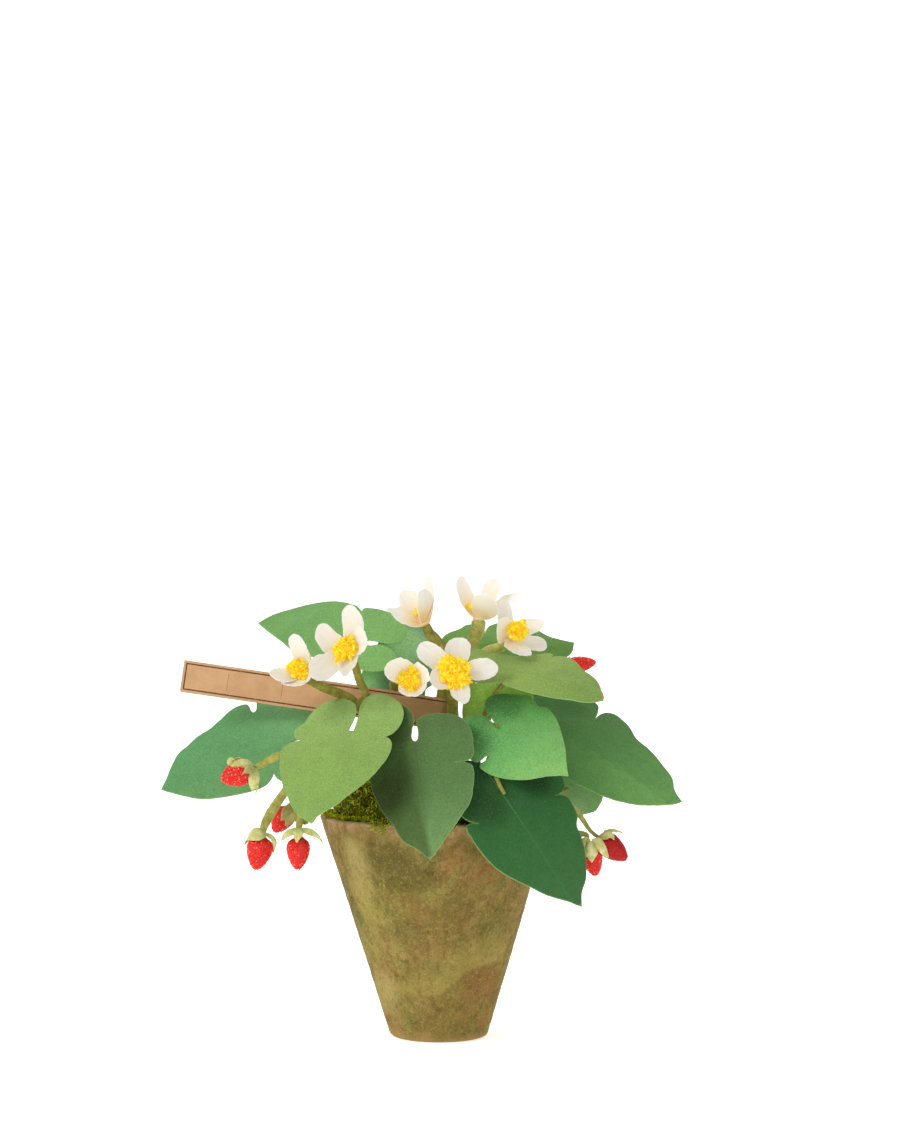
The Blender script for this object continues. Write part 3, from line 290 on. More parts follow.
STEMS = {
    "leaf_stems_left": {"foot": (-19, 4), "from": 92, "to": 140, "radius": 3.2, "seed": 0.0, "branches": [
        {"kind": "petiole", "r0": 1.15, "r1": 1.15, "path": [(-19.0, 4.0, 136.0), (-26.0, -8.0, 146.0), (-38.0, -26.0, 157.0), (-43.13, -42.83, 158.4), (-45.49, -48.55, 153.31)]},
        {"kind": "petiole", "r0": 1.15, "r1": 1.15, "path": [(-19.0, 4.0, 136.0), (-34.0, 4.0, 144.0), (-58.0, 4.0, 150.0), (-76.5, -4.02, 150.51), (-84.03, -4.97, 147.96)]},
        {"kind": "petiole", "r0": 1.15, "r1": 1.15, "path": [(-19.0, 4.0, 136.0), (-19.0, 5.0, 150.0), (-20.0, 6.5, 164.0), (-17.77, 7.5, 172.62), (-19.33, 7.5, 179.9), (-24.03, 8.5, 187.13), (-30.21, 2.18, 191.21), (-37.72, 8.09, 196.8), (-42.81, 11.61, 199.56)]},
        {"kind": "petiole", "r0": 1.15, "r1": 1.15, "path": [(-19.0, 4.0, 136.0), (-26.0, 14.0, 142.0), (-33.0, 24.0, 147.0), (-38.69, 36.48, 149.27), (-44.06, 41.41, 145.95)]},
    ]},
    "leaf_stems_right": {"foot": (20, -4), "from": 92, "to": 140, "radius": 3.4, "seed": 2.3, "branches": [
        {"kind": "petiole", "r0": 1.15, "r1": 1.15, "path": [(20.0, -4.0, 136.0), (25.5, -14.0, 139.5), (28.5, -25.0, 142.0), (29.0, -34.0, 141.5), (27.3, -48.48, 140.82), (28.68, -50.54, 136.36), (30.39, -52.04, 132.66), (32.41, -53.41, 128.98)]},
        {"kind": "petiole", "r0": 1.15, "r1": 1.15, "path": [(20.0, -4.0, 136.0), (19.6, -11.0, 147.0), (22.0, -21.0, 155.0), (22.53, -35.86, 156.64), (25.1, -33.67, 160.34), (26.63, -33.63, 162.34), (27.79, -34.74, 162.82), (28.94, -35.72, 161.96), (30.07, -36.65, 160.83)], "widths": [1.15, 1.15, 1.15, 1.1, 1.0, 0.85, 0.72, 0.64, 0.55]},
        {"kind": "petiole", "r0": 1.15, "r1": 1.15, "path": [(20.0, -4.0, 136.0), (34.0, -3.0, 145.0), (50.0, -4.0, 156.0), (60.75, -2.29, 156.65), (67.64, -4.04, 152.97)]},
        {"kind": "petiole", "r0": 1.15, "r1": 1.15, "path": [(20.0, -4.0, 136.0), (33.0, -13.0, 139.0), (42.0, -20.0, 139.0), (55.75, -26.14, 125.0), (60.21, -22.05, 126.42), (65.48, -17.31, 128.38)]},
        {"kind": "petiole", "r0": 1.15, "r1": 1.15, "path": [(20.0, -4.0, 136.0), (21.0, 3.0, 146.0), (30.81, 6.85, 178.17), (28.34, 4.32, 172.12)]},
        {"kind": "petiole", "r0": 1.15, "r1": 1.15, "path": [(20.0, -4.0, 133.0), (14.0, -6.0, 135.5), (4.0, -12.0, 139.0), (-5.0, -22.0, 144.5), (-8.19, -47.34, 148.13), (-8.63, -50.05, 144.71), (-7.39, -52.96, 139.02)], "widths": [1.15, 1.15, 1.15, 1.15, 1.15, 1.15, 1.15]},
        {"kind": "petiole", "r0": 1.75, "r1": 1.5, "path": [(20.0, -4.0, 136.0), (19.5, -7.0, 150.0), (23.38, -12.0, 165.88), (28.86, -14.5, 176.76), (32.36, -16.0, 181.43), (35.79, -20.1, 184.4)]},
    ]},
    "leaf_stems_rear": {"foot": (-3, 17), "from": 92, "to": 140, "radius": 3.4, "seed": 4.6, "branches": [
        {"kind": "petiole", "r0": 1.15, "r1": 1.15, "path": [(-3.0, 17.0, 136.0), (4.0, 27.0, 152.0), (11.0, 38.0, 184.0), (19.41, 42.94, 198.08), (26.9, 45.64, 198.96)]},
        {"kind": "petiole", "r0": 1.15, "r1": 1.15, "path": [(-3.0, 17.0, 136.0), (-8.0, 18.0, 150.0), (-9.0, 18.5, 160.0), (-11.5, 18.0, 168.5), (-15.45, 16.1, 175.87), (-18.55, 17.52, 179.88)]},
        {"kind": "petiole", "r0": 1.15, "r1": 1.15, "path": [(-3.0, 17.0, 134.0), (-5.0, 34.0, 143.0), (-7.76, 52.64, 135.83), (-8.58, 58.79, 130.77)], "widths": [1.15, 1.15, 1.15, 1.15]},
        {"kind": "petiole", "r0": 1.15, "r1": 1.15, "path": [(-3.0, 17.0, 136.0), (12.0, 26.0, 146.0), (26.0, 33.0, 152.0), (36.66, 35.45, 150.32), (42.5, 39.75, 146.92)]},
        {"kind": "petiole", "r0": 1.15, "r1": 1.15, "path": [(-3.0, 17.0, 133.0), (5.0, 34.0, 135.0), (15.25, 51.78, 127.77), (17.32, 57.76, 122.87)], "widths": [1.15, 1.15, 1.15, 1.15]},
    ]},
    "flower_stalk_left": {"foot": (-11, -9), "from": 92, "to": 141, "radius": 2.6, "seed": 6.8999999999999995, "branches": [
        {"kind": "flower", "r0": 2.3, "r1": 2.6, "path": [(-11.0, -9.0, 137.0), (-20.0, -12.0, 150.0), (-32.0, -16.0, 163.0), (-41.52, -15.0, 170.66), (-46.07, -16.5, 174.83), (-56.55, -22.5, 179.7), (-65.63, -35.28, 185.37), (-68.63, -39.61, 188.25)]},
        {"kind": "flower", "r0": 2.0, "r1": 2.2, "path": [(-42.0, -16.0, 171.74), (-37.32, -19.0, 175.46), (-40.24, -24.0, 183.32), (-43.21, -37.54, 194.9), (-45.01, -41.74, 198.79)]},
    ]},
    "flower_stalk_center": {"foot": (-2, -1), "from": 92, "to": 141, "radius": 2.9, "seed": 9.2, "branches": [
        {"kind": "flower", "r0": 2.9, "r1": 2.8, "path": [(-2.0, -1.0, 128.0), (-2.0, -1.0, 140.0), (-1.73, -1.0, 153.46), (-0.71, -1.0, 160.38), (0.16, -1.0, 166.32), (1.18, -1.0, 173.24), (2.05, -1.0, 179.18), (3.0, 0.0, 189.53), (1.45, 2.5, 199.79), (-4.39, 7.08, 206.33), (-6.86, 6.26, 211.17)], "widths": [2.9, 2.9, 2.9, 2.9, 2.9, 2.9, 2.95, 3.05, 3.1, 2.9, 2.3]},
        {"kind": "flower", "r0": 1.7, "r1": 2.6, "path": [(-2.17, -1.0, 150.49), (-6.0, 2.2, 155.0), (-13.0, 3.5, 164.0), (-22.0, 2.5, 175.0), (-23.5, -3.0, 181.5), (-21.0, -10.0, 183.5), (-14.19, -18.87, 180.09), (-14.59, -26.32, 182.97)]},
    ]},
    "flower_stalk_front": {"foot": (8, -15), "from": 92, "to": 140, "radius": 3.0, "seed": 11.5, "branches": [
        {"kind": "flower", "r0": 2.9, "r1": 2.9, "path": [(8.0, -15.0, 137.0), (8.0, -14.5, 150.0), (6.86, -14.0, 170.6), (7.09, -20.0, 179.06), (6.45, -24.24, 184.81), (6.93, -29.82, 186.97)]},
    ]},
    "flower_stalk_right": {"foot": (10, 9), "from": 92, "to": 141, "radius": 2.9, "seed": 13.799999999999999, "branches": [
        {"kind": "flower", "r0": 2.5, "r1": 3.5, "path": [(10.0, 9.0, 136.0), (16.5, 15.0, 150.0), (17.8, 22.0, 168.0), (16.3, 26.0, 186.0), (16.5, 26.5, 195.91), (18.07, 25.8, 203.31), (20.43, 24.59, 209.81), (20.59, 24.2, 212.98)], "widths": [2.4, 2.4, 2.4, 2.4, 2.4, 2.5, 2.6, 2.7, 3.1, 3.7, 3.8]},
        {"kind": "flower", "r0": 2.2, "r1": 2.7, "path": [(16.3, 26.0, 186.0), (19.86, 22.0, 192.38), (25.0, 15.5, 197.83), (32.02, 6.42, 200.45), (34.52, 3.12, 203.25)]},
    ]},
    "fruit_stalk_left": {"foot": (-14, -19), "from": 92, "to": 140, "radius": 2.0, "seed": 16.099999999999998, "branches": [
        {"kind": "fruit", "r0": 1.7, "r1": 2.3, "path": [(-14.0, -19.0, 137.0), (-28.0, -22.0, 147.0), (-52.0, -24.0, 148.0), (-70.55, -27.0, 137.83), (-77.36, -32.0, 129.13), (-87.72, -39.19, 112.13), (-88.66, -39.8, 107.26)]},
        {"kind": "fruit", "r0": 1.7, "r1": 1.9, "path": [(-67.06, -26.0, 139.79), (-79.0, -30.0, 146.66), (-89.32, -32.73, 142.13), (-93.93, -33.69, 140.43)]},
        {"kind": "fruit", "r0": 1.5, "r1": 1.9, "path": [(-67.54, -26.5, 138.3), (-70.35, -31.0, 126.52), (-69.69, -34.0, 116.18), (-70.74, -35.3, 110.84), (-70.81, -35.8, 106.88)]},
        {"kind": "fruit", "r0": 1.3, "r1": 1.6, "path": [(-66.55, -26.0, 138.77), (-71.72, -24.0, 129.48), (-73.27, -24.78, 123.46), (-75.43, -24.22, 120.14)]},
    ], "stubs": [{"path": [(-70.85, -31.0, 119.95), (-69.31, -31.5, 116.96), (-67.87, -32.0, 114.23), (-67.25, -32.3, 112.24)], "widths": [1.9, 2.0, 1.9, 1.6]}]},
    "fruit_stalk_right": {"foot": (14, -21), "from": 92, "to": 138, "radius": 2.0, "seed": 18.4, "branches": [
        {"kind": "fruit", "r0": 1.6, "r1": 1.6, "path": [(14.0, -21.0, 136.0), (25.0, -25.5, 138.0), (37.0, -29.0, 138.0), (50.0, -30.0, 134.0), (61.08, -31.0, 125.46), (69.63, -32.0, 117.96), (77.08, -27.35, 107.56), (80.23, -27.81, 105.14)], "widths": [1.7, 1.7, 1.6, 1.6, 1.55, 1.55, 1.6, 1.6, 1.5, 1.1, 0.9]},
        {"kind": "fruit", "r0": 1.4, "r1": 1.6, "path": [(62.59, -31.2, 123.96), (64.68, -35.0, 115.21), (67.26, -39.0, 108.55), (73.91, -40.44, 107.17), (74.58, -40.8, 104.27)]},
    ]},
    "fruit_stalk_rear": {"foot": (24, 12), "from": 92, "to": 140, "radius": 2.0, "seed": 20.7, "branches": [
        {"kind": "fruit", "r0": 1.5, "r1": 1.6, "path": [(24.0, 12.0, 137.0), (36.0, 26.0, 162.0), (47.0, 33.0, 177.0), (56.86, 41.0, 184.26), (62.69, 41.96, 187.91), (66.58, 42.7, 188.48)], "widths": [1.5, 1.5, 1.5, 1.5, 1.6, 1.6]},
        {"kind": "fruit", "r0": 1.4, "r1": 1.6, "path": [(36.0, 26.0, 162.0), (52.0, 30.0, 174.0), (72.31, 30.27, 180.92), (76.37, 31.58, 178.31)], "widths": [1.4, 1.4, 1.5, 1.6]},
    ]},
}


# ---- small helpers ---------------------------------------------------------------
def unit(v):
    v = np.asarray(v, float)
    return v / np.linalg.norm(v)


def noise3(points, scale, seed=0.0, octaves=3):
    out = np.empty(len(points))
    for i, p in enumerate(points):
        out[i] = noise.fractal(Vector((p[0] * scale + seed, p[1] * scale - seed, p[2] * scale + 2 * seed)), 1.0, 2.0, octaves)
    return out


def make(name, verts, faces, materials, face_material=None, smooth=True, attributes=None, node=None):
    """A mesh object in the row frame. verts are in millimetres."""
    me = bpy.data.meshes.new(name)
    me.from_pydata([tuple(np.asarray(v) * MM) for v in verts], [], [tuple(int(i) for i in f) for f in faces])
    me.update()
    for m in materials:
        me.materials.append(m)
    if face_material is not None:
        me.polygons.foreach_set("material_index", np.asarray(face_material, np.int32))
    me.polygons.foreach_set("use_smooth", [smooth] * len(me.polygons))
    for key, values in (attributes or {}).items():
        values = np.asarray(values, np.float32)
        kind = "FLOAT" if values.ndim == 1 else ("FLOAT_VECTOR" if values.shape[1] == 3 else "FLOAT_COLOR")
        layer = me.attributes.new(key, kind, "POINT")
        layer.data.foreach_set({"FLOAT": "value", "FLOAT_VECTOR": "vector", "FLOAT_COLOR": "color"}[kind], values.ravel())
    ob = bpy.data.objects.new(name, me)
    bpy.context.scene.collection.objects.link(ob)
    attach(ob, "root")
    if node:
        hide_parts(*([node] if isinstance(node, str) else node))
    return ob


def smooth_outline(points, corners, step):
    """Closed outline through the points, rounded except at the corners, with about one point per step."""
    pts = np.asarray(points, float)
    n = len(pts)
    tan = np.zeros_like(pts)
    for i in range(n):
        if not corners[i]:
            a, b = pts[i] - pts[i - 1], pts[(i + 1) % n] - pts[i]
            la, lb = np.linalg.norm(a), np.linalg.norm(b)
            tan[i] = (a / la * lb + b / lb * la) / (la + lb)
    out = []
    mark = []
    for i in range(n):
        j = (i + 1) % n
        p, q = pts[i], pts[j]
        d = q - p
        length = np.linalg.norm(d)
        ta = tan[i] * length if not corners[i] else None
        tb = tan[j] * length if not corners[j] else None
        if ta is None and tb is None:
            ta = tb = d
        elif ta is None:
            ta = 1.5 * d - 0.5 * tb
        elif tb is None:
            tb = 1.5 * d - 0.5 * ta
        k = max(1, int(round(length / step)))
        for s in range(k):
            t = s / k
            out.append((2*t**3-3*t**2+1)*p + (t**3-2*t**2+t)*ta + (-2*t**3+3*t**2)*q + (t**3-t**2)*tb)
            mark.append(corners[i] and s == 0)
    return np.array(out), mark


def cut_sheet(outline, grid):
    """Triangles of a flat sheet inside the outline, with points about one grid step apart. Returns points, triangles and boundary order."""
    n = len(outline)
    lo, hi = outline.min(0), outline.max(0)
    pts = []
    row = 0
    y = lo[1] + grid * 0.5
    while y < hi[1]:
        x = lo[0] + (grid * 0.5 if row % 2 else 0.0)
        while x < hi[0]:
            pts.append((x, y))
            x += grid
        y += grid * 0.87
        row += 1
    pts = np.array(pts)
    # keep the points inside the outline and a little away from its edge
    x, y = pts[:, 0], pts[:, 1]
    inside = np.zeros(len(pts), bool)
    dist = np.full(len(pts), 1e9)
    for i in range(n):
        (x1, y1), (x2, y2) = outline[i], outline[(i + 1) % n]
        cross = (y1 > y) != (y2 > y)
        with np.errstate(divide="ignore", invalid="ignore"):
            xi = (x2 - x1) * (y - y1) / (y2 - y1 + 1e-12) + x1
        inside ^= cross & (x < xi)
        dx, dy = x2 - x1, y2 - y1
        t = np.clip(((x - x1) * dx + (y - y1) * dy) / (dx * dx + dy * dy + 1e-12), 0, 1)
        dist = np.minimum(dist, np.hypot(x - x1 - t * dx, y - y1 - t * dy))
    pts = pts[inside & (dist > grid * 0.45)]
    everything = [Vector(p) for p in outline] + [Vector(p) for p in pts]
    edges = [(i, (i + 1) % n) for i in range(n)]
    v, _, f, orig, _, _ = delaunay_2d_cdt(everything, edges, [], 1, 1e-5)
    v = np.array([tuple(p) for p in v])
    order = []
    back = {}
    for i, o in enumerate(orig):
        for k in o:
            back[k] = i
    order = [back[i] for i in range(n)]
    return v, [tuple(t) for t in f], order


def thick_sheet(flat, faces, border, lift_top, lift_bottom):
    """Closed sheet: top and bottom copies of the flat mesh and a wall round the border. Returns verts, faces, kind of each face."""
    n = len(flat)
    verts = list(lift_top) + list(lift_bottom)
    out, kind = [], []
    for f in faces:
        a, b, c = (flat[i] for i in f[:3])
        ccw = (b[0]-a[0])*(c[1]-a[1]) - (b[1]-a[1])*(c[0]-a[0]) > 0
        g = tuple(f) if ccw else tuple(reversed(f))
        out.append(g)
        kind.append(0)
        out.append(tuple(i + n for i in reversed(g)))
        kind.append(1)
    area = sum(flat[border[i]][0]*flat[border[(i+1) % len(border)]][1] - flat[border[(i+1) % len(border)]][0]*flat[border[i]][1] for i in range(len(border)))
    order = list(border) if area > 0 else list(reversed(border))
    m = len(order)
    # the wall has its own ring of points, so that its shading stays crisp
    base = len(verts)
    for i in order:
        verts.append(lift_top[i])
    for i in order:
        verts.append(lift_bottom[i])
    for i in range(m):
        j = (i + 1) % m
        out.append((base + i, base + m + i, base + m + j, base + j))
        kind.append(2)
    return np.array(verts), out, kind, order


# ---- node graph helper -------------------------------------------------------------
class Graph:
    def __init__(self, name):
        self.mat = bpy.data.materials.new(name)
        self.mat.use_nodes = True
        self.tree = self.mat.node_tree
        self.tree.nodes.clear()
        self.out = self.tree.nodes.new("ShaderNodeOutputMaterial")
        self.bsdf = self.tree.nodes.new("ShaderNodeBsdfPrincipled")
        self.tree.links.new(self.bsdf.outputs[0], self.out.inputs[0])

    def node(self, kind, **props):
        n = self.tree.nodes.new(kind)
        for k, v in props.items():
            setattr(n, k, v)
        return n

    def link(self, a, b):
        self.tree.links.new(a, b)

    def put(self, socket, value):
        if isinstance(value, bpy.types.NodeSocket):
            self.link(value, socket)
        elif value is not None:
            socket.default_value = value

    def coord(self):
        return self.node("ShaderNodeTexCoord").outputs["Object"]

    def attr(self, name, output="Vector"):
        return self.node("ShaderNodeAttribute", attribute_name=name).outputs[output]

    def xyz(self, v):
        n = self.node("ShaderNodeSeparateXYZ")
        self.link(v, n.inputs[0])
        return n.outputs

    def math(self, op, a, b=None, c=None, clamp=False):
        n = self.node("ShaderNodeMath", operation=op, use_clamp=clamp)
        self.put(n.inputs[0], a)
        if b is not None:
            self.put(n.inputs[1], b)
        if c is not None:
            self.put(n.inputs[2], c)
        return n.outputs[0]

    def vmath(self, op, a, b=None):
        n = self.node("ShaderNodeVectorMath", operation=op)
        self.put(n.inputs[0], a)
        if b is not None:
            self.put(n.inputs[1], b)
        return n.outputs[0]

    def scaled(self, v, s):
        n = self.node("ShaderNodeMapping")
        self.link(v, n.inputs[0])
        n.inputs["Scale"].default_value = s if hasattr(s, "__len__") else (s, s, s)
        return n.outputs[0]

    def noise(self, vector, scale, detail=4.0, rough=0.55, distortion=0.0, out=0):
        n = self.node("ShaderNodeTexNoise")
        self.link(vector, n.inputs["Vector"])
        n.inputs["Scale"].default_value = scale
        n.inputs["Detail"].default_value = detail
        n.inputs["Roughness"].default_value = rough
        n.inputs["Distortion"].default_value = distortion
        return n.outputs[out]

    def voronoi(self, vector, scale, feature="F1", out="Distance", randomness=1.0):
        n = self.node("ShaderNodeTexVoronoi", feature=feature)
        self.link(vector, n.inputs["Vector"])
        n.inputs["Scale"].default_value = scale
        n.inputs["Randomness"].default_value = randomness
        return n.outputs[out]

    def ramp(self, fac, stops, interp="LINEAR"):
        n = self.node("ShaderNodeValToRGB")
        n.color_ramp.interpolation = interp
        e = n.color_ramp.elements
        while len(e) > 1:
            e.remove(e[-1])
        e[0].position, e[0].color = stops[0][0], rgba(stops[0][1])
        for p, c in stops[1:]:
            x = e.new(p)
            x.color = rgba(c)
        self.link(fac, n.inputs[0])
        return n.outputs[0]

    def range(self, v, a, b, c=0.0, d=1.0, kind="LINEAR"):
        n = self.node("ShaderNodeMapRange", interpolation_type=kind)
        self.link(v, n.inputs[0])
        n.inputs[1].default_value, n.inputs[2].default_value = a, b
        n.inputs[3].default_value, n.inputs[4].default_value = c, d
        return n.outputs[0]

    def mix(self, fac, a, b, blend="MIX"):
        n = self.node("ShaderNodeMix", data_type="RGBA", blend_type=blend)
        self.put(n.inputs[0], fac)
        self.put(n.inputs[6], rgba(a) if isinstance(a, (tuple, list)) else a)
        self.put(n.inputs[7], rgba(b) if isinstance(b, (tuple, list)) else b)
        return n.outputs[2]

    def bump(self, height, strength=0.3, distance=0.0003, normal=None):
        n = self.node("ShaderNodeBump")
        self.link(height, n.inputs["Height"])
        n.inputs["Strength"].default_value = strength
        n.inputs["Distance"].default_value = distance
        if normal is not None:
            self.link(normal, n.inputs["Normal"])
        return n.outputs[0]

    def surface(self, color, rough=0.8, normal=None, sheen=0.0, subsurface=0.0, specular=0.5):
        b = self.bsdf
        self.put(b.inputs["Base Color"], rgba(color) if isinstance(color, (tuple, list)) else color)
        self.put(b.inputs["Roughness"], rough)
        b.inputs["Specular IOR Level"].default_value = specular
        if normal is not None:
            self.link(normal, b.inputs["Normal"])
        if sheen:
            b.inputs["Sheen Weight"].default_value = sheen
            b.inputs["Sheen Roughness"].default_value = 0.5
        return self.mat


def lin(c):
    c = c / 255.0
    return c / 12.92 if c <= 0.04045 else ((c + 0.055) / 1.055) ** 2.4


def rgba(c):
    """Display colour 0..255 to the linear colour that a shader takes."""
    return (lin(c[0]), lin(c[1]), lin(c[2]), 1.0)


def hue(c, f):
    return tuple(min(255, max(0, x * f)) for x in c)


# ---- card, paper and stem materials --------------------------------------------------
def paper_grain(g, coord, fine=1450.0, coarse=420.0):
    """Fibre speckle of painted card: returns the height and a 0..1 speckle."""
    a = g.noise(coord, fine, 3.0, 0.6)
    b = g.noise(coord, coarse, 4.0, 0.6)
    return g.math("ADD", g.math("MULTIPLY", a, 0.7), g.math("MULTIPLY", b, 0.3)), a


def leaf_material(name, look):
    """Painted card. look: colours at the stalk, middle and tip, tint of the left and right halves, and the midrib's strength."""
    g = Graph("card_" + name)
    uv = g.xyz(g.attr("leaf_uv"))
    coord = g.coord()
    u = g.range(uv[0], -14.0, look["length"], 0.0, 1.0)
    wander = g.noise(coord, 38.0, 3.0, 0.5)
    u = g.math("ADD", u, g.math("MULTIPLY", g.math("SUBTRACT", wander, 0.5), 0.30), clamp=True)
    base = g.ramp(u, [(0.0, look["base"]), (0.45, look["middle"]), (1.0, look["tip"])])
    # the two halves beside the crease catch a different tint
    blur = g.range(uv[0], look["length"] * 0.15, look["length"] * 0.80, look["soft"] * look["loose"], look["soft"])
    lean = g.math("ADD", uv[1], g.math("MULTIPLY", g.math("SUBTRACT", wander, 0.5), blur))
    half = g.range(g.math("DIVIDE", lean, blur), -1.0, 1.0, 0.0, 1.0, "SMOOTHSTEP")
    sided = g.mix(half, look["right"], look["left"])
    color = base
    # soft blotches of a brushed wash
    blotch = g.range(g.noise(coord, 95.0, 5.0, 0.6), 0.36, 0.66)
    color = g.mix(g.math("MULTIPLY", blotch, 0.30), color, look["wash"])
    cloud = g.range(g.noise(coord, 210.0, 4.0, 0.65, 0.4), 0.40, 0.62, 0.0, 0.22)
    color = g.mix(cloud, color, hue(look["middle"], 0.84))
    for x, y, reach, tone, amount in look["glaze"]:
        # a broad brushed patch, placed in the leaf's own plane
        dx = g.math("SUBTRACT", uv[0], x)
        dy = g.math("SUBTRACT", uv[1], y)
        away = g.math("SQRT", g.math("ADD", g.math("MULTIPLY", dx, dx), g.math("MULTIPLY", dy, dy)))
        away = g.math("ADD", away, g.math("MULTIPLY", g.math("SUBTRACT", wander, 0.5), 12.0))
        color = g.mix(g.range(away, reach * 0.25, reach, amount, 0.0, "SMOOTHSTEP"), color, tone)
    height, speck = paper_grain(g, coord)
    tooth = g.range(speck, 0.50, 0.70)
    color = g.mix(g.math("MULTIPLY", tooth, 0.42), color, hue(look["wash"], 1.20), "MIX")
    pit = g.range(g.noise(coord, 1250.0, 3.0, 0.6), 0.34, 0.50, 1.0, 0.0)
    color = g.mix(g.math("MULTIPLY", pit, 0.38), color, hue(look["middle"], 0.66), "MIX")
    color = g.mix(1.0, color, sided, "MULTIPLY")
    # the crease itself, a thin line from the notch towards the tip
    across = g.math("ABSOLUTE", uv[1])
    line = g.range(across, 0.10, 0.60, 1.0, 0.0, "SMOOTHSTEP")
    fade = g.range(uv[0], 0.0, look["length"] * 0.96, 1.0, 0.15)
    color = g.mix(g.math("MULTIPLY", g.math("MULTIPLY", line, fade), look["rib"]), color, look["rib_color"])
    # a paler worn rim beside the cut
    rim = g.range(uv[2], 0.0, 0.55, 1.0, 0.0)
    color = g.mix(g.math("MULTIPLY", rim, 0.34), color, look["edge"])
    return g.surface(color, 0.88, g.bump(height, 0.45, 0.00014), sheen=0.10, specular=0.22)


def underside_material(name, color):
    g = Graph("card_back_" + name)
    coord = g.coord()
    height, speck = paper_grain(g, coord)
    c = g.mix(g.range(g.noise(coord, 120.0, 4.0, 0.6), 0.3, 0.7), color, hue(color, 1.18))
    c = g.mix(g.math("MULTIPLY", speck, 0.25), c, hue(color, 1.3))
    return g.surface(c, 0.92, g.bump(height, 0.4, 0.00012), specular=0.2)


def edge_material(name, color):
    g = Graph("card_edge_" + name)
    coord = g.coord()
    height, speck = paper_grain(g, coord, 4200.0, 900.0)
    c = g.mix(speck, hue(color, 0.88), hue(color, 1.1))
    return g.surface(c, 0.95, g.bump(height, 0.3, 0.0001), specular=0.15)


def leaf_piece(name, leaf, look):
    a, n = unit(leaf["along"]), unit(leaf["normal"])
    l = np.cross(n, a)
    at = np.array(leaf["at"])
    outline, sharp = smooth_outline(leaf["outline"], leaf["corners"], 0.9)
    # the scissors wander a little between the corners
    seed = leaf["seed"]
    heading = np.roll(outline, -1, axis=0) - np.roll(outline, 1, axis=0)
    heading /= np.linalg.norm(heading, axis=1)[:, None] + 1e-9
    for i in range(len(outline)):
        if not sharp[i]:
            k = noise.noise(Vector((outline[i][0] * 0.30 + seed, outline[i][1] * 0.30, seed))) * 0.16
            outline[i] += k * np.array([heading[i][1], -heading[i][0]])
    flat, faces, border = cut_sheet(outline, 2.1)
    ring = flat[border]
    edge = np.full(len(flat), 1e9)
    m = len(border)
    for i in range(m):
        p, q = ring[i], ring[(i + 1) % m]
        d = q - p
        t = np.clip(((flat - p) @ d) / (d @ d + 1e-12), 0, 1)
        edge = np.minimum(edge, np.linalg.norm(flat - p - t[:, None] * d, axis=1))
    u, v = flat[:, 0], flat[:, 1]
    wave = noise3(np.c_[flat, np.zeros(len(flat))], 0.055, seed, 2) * 0.5
    ripple = noise3(np.c_[flat, np.zeros(len(flat))], 0.16, seed + 9, 2) * 0.12
    crease = -0.16 * np.exp(-(v / 1.1) ** 2) * np.clip(1.0 - u / (leaf["length"] * 1.02), 0, 1) * (u > -1)
    near = np.exp(-np.maximum(edge, 0) / 1.2) * 0.12
    rise = -leaf["bend"] * (u / 60) ** 2 + leaf["fold"] * (np.sqrt(v * v + 2.9) - 0.6) / 25 + leaf["cup"] * (v / 25) ** 2
    quiet = np.clip((np.hypot(u, v) - 4) / 14, 0, 1)       # the stalk is glued here
    w = rise + (wave + ripple) * quiet + crease - near
    top = at + np.outer(u, a) + np.outer(v, l) + np.outer(w, n)
    bottom = at + np.outer(u, a) + np.outer(v, l) + np.outer(w - CARD * 0.84, n)
    verts, out, kind, order = thick_sheet(flat, faces, border, top, bottom)
    uv = np.c_[flat, edge]
    uvs = np.vstack([uv, uv, uv[order], uv[order]])
    mats = [leaf_material(name, dict(look, length=leaf["length"])), underside_material(name, look["under"]), edge_material(name, look["edge"])]
    return make("vis_" + name, verts, out, mats, kind, True, {"leaf_uv": uvs}, node=name)


def stem_material(name, light, dark, brown):
    """Floral tape: wrapped bands with faint overlaps, fine stretch lines and a waxy mottle."""
    g = Graph("tape_" + name)
    coord = g.coord()
    wrap = g.attr("wrap", "Fac")
    band = g.math("FRACT", wrap)
    overlap = g.range(band, 0.0, 0.16, 1.0, 0.0, "SMOOTHSTEP")
    n1 = g.noise(coord, 230.0, 4.0, 0.6)
    n2 = g.noise(coord, 1500.0, 3.0, 0.65)
    c = g.mix(g.range(n1, 0.34, 0.66), dark, light)
    c = g.mix(g.range(g.noise(coord, 80.0, 3.0, 0.5), 0.52, 0.78, 0.0, 0.45), c, brown)
    c = g.mix(g.math("MULTIPLY", overlap, 0.30), c, hue(dark, 0.72))
    c = g.mix(g.math("MULTIPLY", g.range(n2, 0.50, 0.70), 0.34), c, hue(light, 1.16))
    c = g.mix(g.math("MULTIPLY", g.range(n2, 0.32, 0.45, 1.0, 0.0), 0.30), c, hue(dark, 0.8))
    height = g.math("ADD", g.math("MULTIPLY", n1, 0.5), g.math("MULTIPLY", n2, 0.5))
    return g.surface(c, 0.8, g.bump(height, 0.4, 0.0002), specular=0.22)


